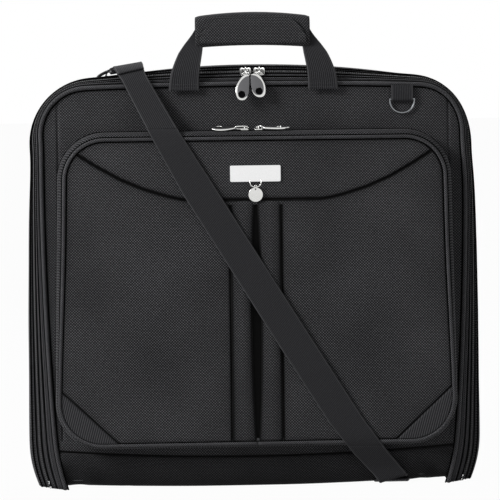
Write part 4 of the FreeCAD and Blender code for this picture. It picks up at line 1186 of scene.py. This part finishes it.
def even_columns(width, count=23):
    """Places across webbing, closer together at its edges."""
    inner = np.linspace(SELVEDGE[-1] * MM, width - SELVEDGE[-1] * MM, count)
    return np.concatenate([SELVEDGE[:-1] * MM, inner, width - SELVEDGE[:-1][::-1] * MM])


def across_shares(width):
    """Places across webbing of a width in mm, from 0 to 1."""
    return even_columns(width * MM) / (width * MM)


# ------------------------------------------------------------------ shoulder strap
# One length of 38 mm webbing: from the hook at the upper left across the front and pocket,
# under the bag and up the back to the second hook, with a slide adjuster near its end.

STRAP_WIDTH = 38.0
# its left and right edges as (x, height), and its depth over the pocket and piping by height
STRAP_LEFT = np.array([
    (-172.0, 524), (-161.3, 502), (-144.0, 467), (-127.5, 434.8), (-89.4, 363.7), (17.6, 190),
    (86.8, 80), (116.0, 43), (142.2, 13), (152.0, 0),
])
STRAP_RIGHT = np.array([
    (-140.0, 524), (-132.4, 508.8), (-90.6, 436), (-57.5, 383.5), (50.1, 210.5), (128.0, 86),
    (155.0, 49), (181.7, 15.5), (193.0, 0),
])
STRAP_HEIGHTS = [0, 10, 17, 24, 34, 46, 58, 66, 150, 300, 420, 433, 441, 455, 470, 485, 499.5, 505,
                 509, 513]
STRAP_DEPTHS = [-30.6, -31.6, -32.6, -34.2, -39, -46.2, -51.4, -52.3, -52.6, -52.6, -52.3, -50.9,
                -48.6, -44.4,
                -39.9, -35.3, -30.4, -26.0, -19.5, -11.0]


def strap_places(heights, places):
    """Points in mm on the front at heights and places (0 left to 1 right) across the strap."""
    left = np.interp(heights, STRAP_LEFT[::-1, 1], STRAP_LEFT[::-1, 0])
    right = np.interp(heights, STRAP_RIGHT[::-1, 1], STRAP_RIGHT[::-1, 0])
    x = left * (1 - places) + right * places
    dense = np.linspace(STRAP_HEIGHTS[0] - 5, STRAP_HEIGHTS[-1] + 5, 400)
    profile = np.pad(np.interp(dense, STRAP_HEIGHTS, STRAP_DEPTHS), 5, mode="edge")
    profile = hanning_smoothed(profile, 11)
    crease = 0.5 * bell(heights - 138 - 12 * places, 5.0)
    return np.stack([x, np.interp(heights, dense, profile) - crease, heights], axis=-1)


def strap_sheet(low, high, rows, low_tilt=0.0, high_tilt=0.0):
    """Sheet of the front run between two heights; a tilt raises an end's right by that many mm."""
    places = across_shares(STRAP_WIDTH)
    share = np.linspace(0, 1, rows)[:, None]
    heights = (low + low_tilt * places) * (1 - share) + (high + high_tilt * places) * share
    return strap_places(heights, places + 0 * heights) * MM


dress(webbing("strap_front_run_webbing", strap_sheet(51.6, 440.2, 120), 2.2 * MM),
      "pocket", "webbing", "strap_front_run")

# its foot tucks under the bag
lower = strap_sheet(4.4, 51.6, 50, low_tilt=9.5)
tuck = np.array([[[3.5, 11.0, -1.0]], [[1.8, 5.0, -1.5]], [[0.6, 1.6, -0.9]]]) * MM
strap_lower = webbing("strap_lower_run_webbing", np.concatenate([lower[:1] + tuck, lower]),
                      2.2 * MM)
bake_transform(strap_lower)
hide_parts("strap_lower_run")

UNDER_FRONT, UNDER_REAR, UNDER_WIDTH = -31.0, 47.0, 42.0
depths = np.linspace(UNDER_FRONT, UNDER_REAR, 30)[:, None]
centre = 166.0 - 2.0 * (depths - UNDER_FRONT) / (UNDER_REAR - UNDER_FRONT)
places = even_columns(UNDER_WIDTH * MM) / MM - UNDER_WIDTH / 2
height = 1.2 + 3.4 * bell(depths - UNDER_FRONT, 7.0) + 2.0 * bell(depths - UNDER_REAR, 3.0)
strap_under = webbing("strap_under_webbing", xyz(centre + places, depths, height) * MM, 2.0 * MM,
                      outward=(0, 0, 1.0))
dress(strap_under, "spine", "webbing", "strap_under")

BACK_START, BACK_END = np.array([164.0, 0.0]), np.array([-164.0, 438.0])
back_way = unit_length(BACK_END - BACK_START)
steps = np.linspace(2.0, np.linalg.norm(BACK_END - BACK_START) + 4, 140)[:, None]
places = even_columns(STRAP_WIDTH * MM) / MM - STRAP_WIDTH / 2
x = BACK_START[0] + steps * back_way[0] + places * back_way[1]
z = BACK_START[1] + steps * back_way[1] - places * back_way[0]
y = 45.4 + 6.0 * unit((steps - 480) / 60.0) ** 1.5
strap_back = webbing("strap_back_run_webbing", xyz(x, y, np.maximum(z, 2.2)) * MM, 2.2 * MM,
                     outward=(0, 1.0, 0))
dress(strap_back, "rear_half", "webbing", "strap_back_run")

# The upper end runs over the piping, round the hook's bar and back on itself.
TOP_LINES = np.array([
    ((-164.4, -23.0, 505.2), (-132.3, -19.5, 512.0)),
    ((-167.2, -16.0, 509.6), (-133.0, -12.5, 515.4)),
    ((-169.2, -9.5, 511.8), (-133.9, -6.5, 517.6)),
    ((-169.6, -6.4, 511.8), (-134.2, -3.6, 517.6)),
    ((-169.5, -5.0, 510.0), (-134.2, -2.4, 515.8)),
])
straight = strap_sheet(440.2, 497.5, 44, high_tilt=8.5) / MM
places = across_shares(STRAP_WIDTH)[:, None]
lines = TOP_LINES[:, 0, None] * (1 - places) + TOP_LINES[:, 1, None] * places
levels = np.concatenate([straight[-6::5], lines])
steps = np.linspace(0, len(levels) - 1, 50)
below = np.clip(steps.astype(int), 0, len(levels) - 2)
part = (steps - below)[:, None, None]
bend = softened(levels[below] * (1 - part) + levels[below + 1] * part, 3)
strap_upper = webbing("strap_upper_run_webbing", np.concatenate([straight[:-6], bend]) * MM,
                      2.2 * MM)
dress(strap_upper, "front_half", "webbing", "strap_upper_run")

doubled = bend[15:-2]
lifted = unit_length(np.cross(np.gradient(doubled, axis=0), np.gradient(doubled, axis=1)))
lifted *= -np.sign(np.sum(lifted[..., 1]))
doubled = webbing("strap_upper_fold_webbing", (doubled + lifted * 2.5) * MM, 2.3 * MM)
dress(doubled, "front_half", "webbing")


# ------------------------------------------------------------------ front handle
# Two legs of webbing rise from under the top piping, turn edge on and carry a round core. A
# padded wrap closes round the core with a flap that is stitched twice along its edge.

LEG_WEBBING = 37.0
FRONT_LEVELS = [
    (66, 103, -30.8, 486), (66.2, 102, -31.0, 497), (65.5, 100, -30.6, 508),
    (63.5, 95.5, -28.0, 520), (61.5, 90.5, -23.5, 531), (60, 82, -17.5, 543),
    (58.5, 75, -15.5, 552), (57, 70, -15, 560),
]
REAR_LEVELS = [(62, 100, 51.2, 489), (62, 99, 52.0, 470), (60, 92, 52.5, 450),
               (57, 84, 52.5, 430), (52, 76, 52.5, 414)]


def handle_legs(handle, levels, count, window, nodes=(), **facing):
    """Two mirrored legs through (inner x, outer x, depth, height) levels in mm."""
    levels = np.array(levels, dtype=float).T
    t = np.linspace(0, levels.shape[1] - 1, count)
    level = [np.interp(t, np.arange(levels.shape[1]), row) for row in levels]
    reach = window // 2
    for row in level if window else ():
        row[reach:-reach] = hanning_smoothed(row, window)
    inner, outer, depth, height = (row[:, None] for row in level)
    for side, word in ((-1, "left"), (1, "right")):
        x = side * (inner + (outer - inner) * across_shares(LEG_WEBBING))
        leg = webbing(f"{handle}_leg_{word}", xyz(x, depth, height) * MM, 2.4 * MM, **facing)
        dress(leg, handle, "webbing", *(nodes if side < 0 else ()))


handle_legs("front_handle", FRONT_LEVELS, 60, 9, nodes=["front_handle_webbing"])

WRAP_HALF, WRAP_MIDDLE = 69.5, -14.0


def grip_section(x, centre, half, powers, count):
    """Rounded section across a grip in mm at one place along it; each pair is for y and z."""
    angle = np.linspace(0, 2 * math.pi, count, endpoint=False)
    y, z = (centre[k] + half[k] * np.sign(way) * np.abs(way) ** powers[k]
            for k, way in enumerate((np.cos(angle), np.sin(angle))))
    return xyz(x, y, z)


def wrap_section(x, scale):
    arch = 5.0 * (1 - (x / WRAP_HALF) ** 2)
    low, high = 537.8 + 0.55 * arch, 576.0 + arch
    return grip_section(x, (WRAP_MIDDLE, (low + high) / 2),
                        (11.6 * scale, (high - low) / 2 * scale),
                        (0.55, 0.62), 72)


xs = np.linspace(-WRAP_HALF, WRAP_HALF, 70)
rows = [wrap_section(x, 1 - 0.05 * bell(WRAP_HALF - abs(x), 3.0)) for x in xs]
ENDS = ((-2.0, 0.62), (0.0, 0.72), (0.2, 0.86))
rows = [wrap_section(-WRAP_HALF - out, scale) for out, scale in ENDS] + rows
rows += [wrap_section(WRAP_HALF + out, scale) for out, scale in ENDS[::-1]]
wrap = cloth_piece("grip_wrap_cloth", np.stack(rows) * MM, BALLISTIC,
                   ("from", (0.0, WRAP_MIDDLE * MM, 0.561)), loop=True)
clean_normals(wrap)
dress(wrap, "front_handle", "ballistic_nylon", "grip_wrap", "front_grip_core")

FLAP_LOW, FLAP_HIGH, FLAP_HALF, FLAP_FACE = 543.0, 573.4, 66.5, -25.0


def flap_edge(x, inset=0.0):
    """Height in mm of the flap's edge, or of a line inside it: flat, then round to its ends."""
    drop = 26.0 * unit((np.abs(x) - 40.0 + inset * 0.5) / 26.5) ** 2.2
    return FLAP_HIGH + 1.2 - inset - drop


def flap_bulge(z):
    return 1.6 * (1 - np.clip((z - 561.0) / 19.0, -1, 1) ** 2)


columns = np.linspace(-FLAP_HALF, FLAP_HALF, 110)
edge = flap_edge(columns)
z = FLAP_LOW + (edge - FLAP_LOW) * np.linspace(0, 1, 34)[:, None]
rim_gap = np.minimum(edge - z, FLAP_HALF - np.abs(columns))
lift = 2.2 * (1 - rolled(unit(rim_gap / 1.6)))
grid = xyz(columns, FLAP_FACE - lift - flap_bulge(z), z) * MM
# Painted shade: the flap darkens along its rolled edge, for the seam there and the shade under the
# edge.
flap = cloth_piece("grip_flap_cloth", grid, BALLISTIC, FORWARD, thick=1.6 * MM,
                   seam=0.95 * bell(rim_gap, 1.3), uv=plane_uv(grid))
dress(flap, "grip_wrap_flap", "ballistic_nylon", "grip_wrap_flap")

THREAD = moulded("polyester_thread", "5C5C5E", 0.6)
STITCH_BEAD = (2.1 * MM, 0.6 * MM, 0.5 * MM)


def stitched(name, lines, body):
    """Rows of lockstitch: short threads laid end to end along lines of points in mm."""
    rows = [(points * MM, np.broadcast_to((0.0, -1.0, 0.0), points.shape)) for points in lines]
    beaded(name, rows, 3.0 * MM, STITCH_BEAD, THREAD, body, "webbing")


lines = []
for inset in (3.2, 6.4):
    across = np.linspace(-FLAP_HALF + inset, FLAP_HALF - inset, 90)
    height = flap_edge(across, inset)
    lines.append(xyz(across, FLAP_FACE - 2.3 - flap_bulge(height), height))
stitched("flap_stitches", lines, "grip_wrap_flap")
across = np.linspace(68.5, 100.5, 12)
stitched("leg_stitches", [xyz(side * across, -33.5, height) for side in (-1, 1)
                          for height in (489.5, 493.5)], "front_handle")


# ------------------------------------------------------------------ rear handle
# A second carrying handle hangs flat on the back: webbing legs with a padded, rounded grip.

handle_legs("rear_handle", REAR_LEVELS, 50, 0, outward=(0, 1, 0))

REAR_GRIP_HALF = 69.0
REAR_GRIP_CENTRE = np.array([52.5, 413.0])
rows = []
for x in (-66.0, -REAR_GRIP_HALF, *np.linspace(-REAR_GRIP_HALF, REAR_GRIP_HALF, 64),
          REAR_GRIP_HALF, 66.0):
    size = 1 - 0.06 * bell(REAR_GRIP_HALF - abs(x), 3.0)
    sagged = REAR_GRIP_CENTRE - (0, 3.0 * (1 - (x / REAR_GRIP_HALF) ** 2))
    rows.append(grip_section(x, sagged, (5.9 * size, 14.5 * size), (0.6, 0.6), 60))
for end, beside in ((0, 1), (-1, -2)):
    rows[end][:, 1:] = REAR_GRIP_CENTRE + (rows[beside][:, 1:] - REAR_GRIP_CENTRE) * 0.6
rear_grip = cloth_piece("rear_grip_cloth", np.stack(rows) * MM, BALLISTIC,
                        ("from", (0.0, 0.0525, 0.412)), loop=True)
clean_normals(rear_grip)
dress(rear_grip, "rear_handle", "ballistic_nylon", "rear_handle")


# ------------------------------------------------------------------ metal and moulded parts
# Die-cast and plated zinc sliders and pulls, drawn steel rings in gunmetal, a polished plate,
# black lacquered hooks and brackets, and moulded acetal buckles.

def metal(name, colour, roughness):
    """Plated metal with faint handling marks."""
    made = new_material(name)
    tree = made[1]
    place = add(tree, "ShaderNodeTexCoord").outputs["Object"]
    marks, wear = noise(tree, place, 1200.0, 3.0), noise(tree, place, 90.0, 3.0)
    tree.links.new(blended(tree, wear, roughness * 0.7, roughness * 1.4),
                   made[2].inputs["Roughness"])
    paint = tinted(tree, blended(tree, marks, 0.8, 1.0), "000000", colour)
    return surface(made, paint, marks, 0.005 * MM, 0.4, metallic=1.0)


def smooth_path(points, count, closed=False):
    """Even, smooth line or loop through points (Catmull-Rom)."""
    points = np.array(points, dtype=float)
    before, after = 2 * points[:1] - points[1:2], 2 * points[-1:] - points[-2:-1]
    if closed:
        before, after = points[-1:], points[:2]
    knots = np.concatenate([before, points, after])
    spans = len(points) if closed else len(points) - 1
    t = np.linspace(0, spans, count, endpoint=not closed)
    first = np.minimum(t.astype(int), spans - 1)
    f = (t - first)[:, None]
    a, b, c, d = (knots[first + k] for k in range(4))
    return 0.5 * (2 * b + (c - a) * f + (2 * a - 5 * b + 4 * c - d) * f ** 2
                  + (3 * b - a - 3 * c + d) * f ** 3)


def circle(centre, radius, count=28, tall=1.0):
    angles = np.linspace(0, 2 * math.pi, count, endpoint=False)
    return centre + np.stack([radius * np.cos(angles), radius * tall * np.sin(angles)], axis=1)


def rounded(width, height, radius, centre=(0.0, 0.0)):
    """Rectangle with round corners."""
    spots = []
    for quarter, (sx, sy) in enumerate(((1, 1), (-1, 1), (-1, -1), (1, -1))):
        angles = np.linspace(0, math.pi / 2, 7) + quarter * math.pi / 2
        spots += [(centre[0] + sx * (width / 2 - radius) + radius * math.cos(a),
                   centre[1] + sy * (height / 2 - radius) + radius * math.sin(a)) for a in angles]
    return np.array(spots)


def cut_plate(name, outlines, thick, bevel, place, material, body, slot):
    """Flat plate in mm with rolled edges; outlines after the first are holes through it."""
    curve = bpy.data.curves.new(name + "_outline", "CURVE")
    curve.dimensions = "2D"
    curve.fill_mode = "BOTH"
    curve.extrude = thick / 2 - bevel
    curve.bevel_depth = bevel
    curve.bevel_resolution = 2
    curve.offset = -bevel
    for outline in outlines:
        spline = curve.splines.new("POLY")
        spline.points.add(len(outline) - 1)
        flat = np.column_stack([outline, np.zeros(len(outline)), np.ones(len(outline))])
        spline.points.foreach_set("co", flat.ravel())
        spline.use_cyclic_u = True
    mesh = baked(show(name + "_outline", curve), name)
    spots = np.zeros(len(mesh.vertices) * 3)
    mesh.vertices.foreach_get("co", spots)
    mesh.vertices.foreach_set("co", (place(*spots.reshape(-1, 3).T) * MM).ravel())
    mesh.materials.clear()
    mesh.materials.append(material)
    piece = show(name, mesh)
    clean_normals(piece)
    smooth_shaded(mesh)
    mesh.set_sharp_from_angle(angle=math.radians(40))
    return dress(piece, body, slot)


def over(place, height):
    """The same place in space, higher off a plate."""
    return lambda u, v, w: place(u, v, w + height)


WIRE_SIDE = np.array([0.31, 0.87, 0.38])


def wire(name, points, radius, material, body, slot, sides=12):
    """Round wire through points in mm."""
    points = np.array(points, dtype=float) * MM
    outward = unit_length(np.cross(np.gradient(points, axis=0), WIRE_SIDE))
    piece = capped_tube(name, points, outward, radius * MM, material, sides)
    return dress(piece, body, slot)


CHROME = metal("chrome_plated_zinc", "E6E6E4", 0.14)
SATIN_ZINC = metal("satin_zinc_insert", "6C6C6E", 0.42)
POLISHED = metal("polished_steel", "FAFAFA", 0.3)
GUNMETAL = metal("gunmetal_plated_steel", "85878A", 0.26)
BLACK_METAL = metal("black_lacquered_steel", "1C1C1E", 0.35)
ACETAL = moulded("moulded_acetal", "1E1E20", 0.42)
# A near-black disc for the main pulls' holes, so that each hole reads black.
HOLE_BLACK = moulded("moulded_black_grommet", "050506", 0.6, shine=0.04)
for nodes, finish in (
    ("hanging_hook", CHROME),
    ("front_d_ring rear_d_ring", GUNMETAL),
    ("lower_snap_hook strap_adjuster hanger_bracket hanger_clamp_lever", BLACK_METAL),
    ("buckle_socket buckle_plug", ACETAL),
):
    for node in nodes.split():
        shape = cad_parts[node]
        shape.data.materials.clear()
        shape.data.materials.append(finish)

PULL_OUTLINES = {
    "left": (
        [(-5.0, 503.6), (-9.2, 504.2), (-12.4, 502.2), (-15, 499.3), (-18.9, 493.4),
         (-20.8, 488.3), (-21.1, 483.1), (-20.1, 478), (-17.6, 474.4), (-13.7, 473.2),
         (-9.8, 474.2), (-7.2, 477.3), (-5.4, 483.2), (-4.6, 490.9),
         (-4.3, 497.4)],
        [(-4.9, 502.2), (-9.2, 501.0), (-12.4, 498.6), (-15.6, 494.8), (-17.6, 490.9),
         (-18.6, 487), (-18.8, 483.1), (-18.0, 479.3), (-16.3, 476.6), (-13, 475.6),
         (-9.8, 476.8), (-6.1, 479.8), (-4.9, 486.5),
         (-4.3, 496.1)],
        (-13.6, 480.4)),
    "right": (
        [(-2.2, 502.5), (-0.8, 504.9), (3.7, 504.8), (8.9, 502.5), (12.5, 496.7), (14.6, 491.6),
         (15.3, 485.7), (14.6, 480.6), (12.2, 477.6), (8.3, 476.7), (4.7, 477.4), (1.6, 479.6),
         (-0.8, 483.8), (-2.2, 490.9),
         (-2.5, 497.4)],
        [(-2.0, 503.2), (2.5, 502.9), (5.7, 501.4), (9.4, 498), (11.8, 494.1), (12.9, 489.6),
         (13.0, 485.7), (12.0, 481.9), (9.5, 479.6), (6.8, 479.3), (2.6, 480.4), (-0.5, 484.6),
         (-2.1, 490.9),
         (-2.4, 497.4)],
        (7.4, 484.2)),
}
PULL_LEAN = math.radians(15.0)
SLIDER_SLOPE = math.radians(38.0)
SLIDER_SHAPE = smooth_path([
    (-4.2, -7.2), (4.2, -7.2), (6.2, -4.4), (6.7, 0), (6.5, 5.4), (4.4, 7.2), (1.4, 5.8),
    (-1.4, 5.8), (-4.4, 7.2), (-6.5, 5.4), (-6.7, 0), (-6.2, -4.4)], 60, True)
BRIDGE = ((4.6, 0.6), (4.2, 2.6), (2.0, 3.8), (-1.5, 4.0), (-4.4, 3.0), (-5.4, 0.8))
for word, (outer, insert, hole) in PULL_OUTLINES.items():
    side = -1 if word == "left" else 1
    outer, insert = smooth_path(outer, 64, True), smooth_path(insert, 56, True)
    centre = 8.4 * side - 0.4
    root = (-7.0, 3.0)[side > 0]

    def on_pull(u, v, w):
        depth = -29.8 + (v - 508.5) * math.sin(PULL_LEAN) - w * math.cos(PULL_LEAN)
        return xyz(u - 1.0, depth, v + w * math.sin(PULL_LEAN))

    def on_zip(u, v, w):
        return xyz(centre + u, -14.9 + v * math.cos(SLIDER_SLOPE) - w * math.sin(SLIDER_SLOPE),
                   508.4 + v * math.sin(SLIDER_SLOPE) + w * math.cos(SLIDER_SLOPE))

    # The grommet plate fills the pull's hole with near black.
    for label, outlines, thick, bevel, height, finish in (
        ("rim", [outer, circle(hole, 4.2)], 2.4, 0.7, 1.2, CHROME),
        ("insert", [insert, circle(hole, 4.4)], 0.8, 0.2, 2.35, SATIN_ZINC),
        ("grommet", [circle(hole, 4.1)], 0.8, 0.1, 0.6, HOLE_BLACK),
    ):
        plate = cut_plate(f"main_pull_{word}_{label}", outlines, thick, bevel,
                          over(on_pull, height), finish, f"main_pull_{word}", "chrome")
        if label == "rim":
            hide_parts(f"main_pull_{word}")

    body = f"main_slider_{word}"
    for label, outlines, thick, bevel, height, finish in (
        ("plate", [SLIDER_SHAPE], 1.7, 0.5, 0.0, CHROME),
        ("flanges", [SLIDER_SHAPE * 0.94], 1.2, 0.4, -2.6, SATIN_ZINC),
        ("neck", [rounded(3.0, 9.0, 1.0)], 2.2, 0.3, -1.5, SATIN_ZINC),
        ("frame", [rounded(9.4, 10.4, 2.2, (0, -0.4)), rounded(5.6, 6.4, 1.4, (0, -0.4))],
         1.0, 0.35, 1.2, CHROME),
    ):
        plate = cut_plate(f"{body}_{label}", outlines, thick, bevel, over(on_zip, height), finish,
                          body, "chrome")
        if label == "plate":
            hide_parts(body)
    bridge = [on_zip(0.0, v, w) for v, w in BRIDGE]
    wire(f"{body}_bridge", smooth_path(bridge, 24), 1.15, CHROME, body, "chrome")
    near, far = centre - 1.2, root - 1.2
    loop = [(near, -19.6, 507.6), (far, -26.0, 506.4), (far, -30.8, 503.0),
            (far + 2.4, -30.8, 503.0), (far + 2.4, -26.0, 506.4), (near + 2.4, -19.6, 507.6),
            (near, -19.6, 507.6)]
    wire(f"{body}_link", smooth_path(loop, 40), 0.8, CHROME, body, "chrome")

POCKET_PULLS = {"left": (-53.0, -22.2, 20.0, 440.6), "right": (43.0, 9.6, 8.0, 440.4)}
PULL_HOLE = (20.5, 0)
TEARDROP = [(6, 4.6), (13, 6.8), (20, 7.4), (26, 6.2), (30, 3.2)]
for word, (tip, root, lean, level) in POCKET_PULLS.items():
    side = -1 if word == "left" else 1
    below = [(u, -v) for u, v in TEARDROP[::-1]]
    outer = smooth_path([(0, -1.6), (0, 1.6), *TEARDROP, (abs(tip - root), 0), *below], 60, True)
    inner = outer * np.array([0.9, 0.76]) + np.array([1.3, 0.0])
    way = math.radians(lean)

    def on_pocket(u, v, w):
        return xyz(root + side * u, -39.0 - v * math.cos(way) - w * math.sin(way),
                   level - v * math.sin(way) + w * math.cos(way))

    body = f"pocket_pull_{word}"
    rim = cut_plate(f"{body}_rim", [outer, circle(PULL_HOLE, 4.0)], 2.2, 0.6, on_pocket, CHROME,
                    body, "chrome")
    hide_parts(body)
    cut_plate(f"{body}_insert", [inner, circle(PULL_HOLE, 4.2)], 0.6, 0.15,
              over(on_pocket, 1.15), SATIN_ZINC, body, "chrome")
    body = f"pocket_slider_{word}"
    near, far, seat = 4.6 * side - 2.6, root + side, 8.5 * side - 3.4
    loop = [(near, -36.4, 440.8), (near + side * 3, -38.6, 442.2), (far - side * 2, -41.2, 442.2),
            (far, -39.4, 440.8), (far - side * 2, -36.8, 439.2), (near + side * 3, -35.4, 439.4),
            (near, -36.4, 440.8)]
    wire(f"{body}_link", smooth_path(loop, 44), 0.95, CHROME, body, "chrome")
    crown = cut_plate(f"{body}_plate", [rounded(11.0, 8.4, 2.6)], 1.5, 0.45,
                      lambda u, v, w: xyz(seat + u, -35.4 - v, 438.2 + w), CHROME, body, "chrome")
    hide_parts(body)
    rise = [(seat, -38.6, 438.6), (seat, -38.0, 441.4), (seat, -35.4, 442.4),
            (seat, -32.6, 441.4), (seat, -32.2, 438.6)]
    wire(f"{body}_bridge", smooth_path(rise, 20), 1.1, CHROME, body, "chrome")

low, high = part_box("name_plate")
face = high[1] / MM
middle = (low[2] + high[2]) / 2 / MM
plate = cut_plate("name_plate_face", [rounded(61.0, 19.6, 1.6, (0, middle))], 1.2, 0.35,
                  lambda u, v, w: xyz(u, face - 1.2 - w, v), POLISHED, "pocket", "polished_plate")
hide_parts("name_plate")
cut_plate("name_plate_rim", [rounded(62.0, 20.6, 2.0, (0, middle))], 0.9, 0.25,
          lambda u, v, w: xyz(u, face - 0.45 - w, v), GUNMETAL, "pocket", "gunmetal")

low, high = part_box("charm")
hang = (low[1] + high[1]) / 2 / MM
middle = low[2] / MM + 8.75
disc = cut_plate("charm_disc", [circle((0, middle), 8.7, 56), circle((0, middle + 6.5), 1.0, 16)],
                 1.3, 0.35, lambda u, v, w: xyz(u, hang - w, v), CHROME, "charm", "chrome")
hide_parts("charm")
oval = [(x, hang, z) for x, z in circle((0, middle + 8.4), 1.8, 24, tall=1.7)]
wire("charm_ring", oval + oval[:1], 0.45, CHROME, "charm", "chrome")
arm = [(6.8, 0.6, 377.6), (6.8, -0.4, 374.5), (5.8, -0.5, 371.6), (3.4, -0.5, 369.8)]
arms = [(-x, hang + y, z) for x, y, z in arm] + [(0, hang - 0.5, 369.2)]
arms += [(x, hang + y, z) for x, y, z in arm[::-1]]
wire("charm_bail", smooth_path(arms, 50), 0.55, CHROME, "charm", "chrome")

HOOK_FRAME = [(-134.6, -5.0, 514.6), (-168.6, -7.8, 508.8), (-172.0, -5.4, 508.6),
              (-173.0, -1.6, 509.6), (-171.0, 1.8, 510.8), (-141.0, 4.4, 516.4),
              (-136.0, 1.2, 516.6),
              (-134.6, -5.0, 514.6)]
frame_loop = wire("upper_hook_frame", smooth_path(HOOK_FRAME, 70), 1.5, BLACK_METAL, "rear_half",
                  "black_metal")
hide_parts("upper_snap_hook")
wire("upper_hook_swivel",
     smooth_path([(-163.0, 2.4, 513.0), (-168.0, 7.0, 513.4), (-172.5, 12.0, 512.0)], 14), 3.0,
     BLACK_METAL, "rear_half", "black_metal", 18)
NOSE = [(-172.0, 11.0, 512.2), (-177.5, 18.0, 510.4), (-183.0, 27.0, 508.0), (-188.0, 37.0, 505.0),
        (-190.0, 46.0, 502.0),
        (-187.5, 53.0, 500.0), (-182.0, 54.5, 500.6), (-178.5, 50.0, 502.6), (-179.0, 43.0, 504.6)]
wire("upper_hook_nose", smooth_path(NOSE, 60), 1.9, BLACK_METAL, "rear_half", "black_metal", 16)
wire("upper_hook_gate",
     smooth_path([(-177.0, 14.0, 511.6), (-178.0, 27.0, 508.8), (-179.4, 40.0, 505.4)], 24), 1.1,
     GUNMETAL, "rear_half", "gunmetal")


# ------------------------------------------------------------------ ring tabs
# A short length of ribbed webbing is folded round the straight bar of each D-ring and sewn
# down under the piping.

for name, body in (("front_d_tab", "front_half"), ("rear_d_tab", "rear_half")):
    (x0, y0, z0), (x1, y1, z1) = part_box(name)
    front = body == "front_half"
    way = -1.0 if front else 1.0
    face, reach = (y1, y0) if front else (y0, y1)
    bar, far = (z0 + 4.0 * MM, z1) if front else (z1 - 4.0 * MM, z0)
    radius = abs(reach - face) / 2 - 0.4 * MM
    fold = [(face + way * radius * (1 + math.sin(a)), bar + way * radius * math.cos(a))
            for a in np.linspace(-math.pi / 2, math.pi / 2, 16)]
    path = [(face + way * 1.0 * MM, far), *fold, (reach - way * 1.4 * MM, (far + bar) / 2),
            (face + way * 3.4 * MM, far)]
    dense = resample(np.array(path), 70)
    sheet = xyz(x0 + even_columns(x1 - x0, 15), dense[:, :1], dense[:, 1:])
    tab = webbing(name + "_webbing", sheet, 1.2 * MM, outward=(0, way, 0))
    dress(tab, body, "webbing", name)


# ------------------------------------------------------------------ lining and inside straps
# Each half is lined with a thin slippery twill over a foam board, with a mesh pocket on the
# front half and two straps that cross the clothes on the rear half.

def lining_material(name, dark="17181A", light="2C2E32", pitch=0.9 * MM):
    made = new_material(name)
    tree = made[1]
    across, along = cloth_uv(tree)[1:]
    height = hump(tree, maths(tree, "ADD", maths(tree, "DIVIDE", across, pitch),
                              maths(tree, "DIVIDE", along, pitch * 1.6)))
    return surface(made, tinted(tree, height, dark, light), height, 0.06 * MM, 0.6, rough=0.38,
                   sheen=0.2)


LINING = lining_material("lining_twill")
for name, node, board, body, inward, inset, forward in (
    ("rear_lining_cloth", "rear_lining", "rear_board", "rear_half", 0.5, 8.0, True),
    ("front_lining_cloth", "front_lining", "front_board", "front_half", 1.0, 7.0, False),
):
    (x0, y0, z0), (x1, y1, z1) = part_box(node)
    face = y0 if forward else y1
    sides = outline_sides(inward, inset, lambda x: 10.0)
    piece = sewn_panel(name, sides, face / MM, LINING, columns=120, rows=110, roll=1.5,
                       roll_width=6.0, puff=0.0,
                       wave=0.35, seed=61 + forward, forward=forward, thick=1.0)
    dress(piece, body, "lining", node, board)

ring = pocket_ring(12.0)
corners = [(-215, 85), (215, 85), (215, 410), (-215, 410)]
bottom, right, top, left = (ring_between(ring, *ends)
                            for ends in zip(corners, corners[1:] + corners[:1]))
pocket_lining = sewn_panel(
    "pocket_lining_cloth", (bottom, right, top[::-1], left[::-1]),
    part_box("pocket_lining")[1][1] / MM, LINING, columns=90, rows=80, roll=0.6, roll_width=4.0,
    wave=0.3, seed=71, forward=False, thick=0.8)
dress(pocket_lining, "pocket", "lining", "pocket_lining")

made = new_material("polyester_mesh")
tree = made[1]
u, v, place = cloth_axes(tree, 3.0 * MM, 3.0 * MM)
net = times(tree, hump(tree, u), hump(tree, v))
MESH_CLOTH = surface(made, tinted(tree, maths(tree, "POWER", net, 0.4), "3A3A3C", "0A0A0B"),
                     maths(tree, "SUBTRACT", 1.0, net), 0.3 * MM, 0.8, rough=0.6)
(x0, y0, z0), (x1, y1, z1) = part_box("mesh_pocket")
sag = 0.24 * MM * np.sin(np.linspace(0, math.pi, 90)) * np.linspace(0.2, 1, 60)[:, None]
grid = xyz(np.linspace(x0, x1, 90), y1 - sag, np.linspace(z0, z1, 60)[:, None])
net_pocket = cloth_piece("mesh_pocket_net", grid, MESH_CLOTH, BACKWARD, thick=0.6 * MM)
dress(net_pocket, "front_half", "mesh", "mesh_pocket")

(x0, y0, z0), (x1, y1, z1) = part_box("tie_straps")
sag = 0.8 * MM * np.sin(np.linspace(0, math.pi, 50))[:, None]
for side, word in ((-1, "left"), (1, "right")):
    along = np.linspace(25.0 * MM, x1, 50)[:, None]
    sheet = xyz(side * along, (y0 + y1) / 2 - sag, z0 + even_columns(z1 - z0, 13))
    tie = webbing(f"tie_strap_{word}", sheet, 1.6 * MM)
    dress(tie, "rear_half", "webbing", *(["tie_straps"] if side < 0 else []))
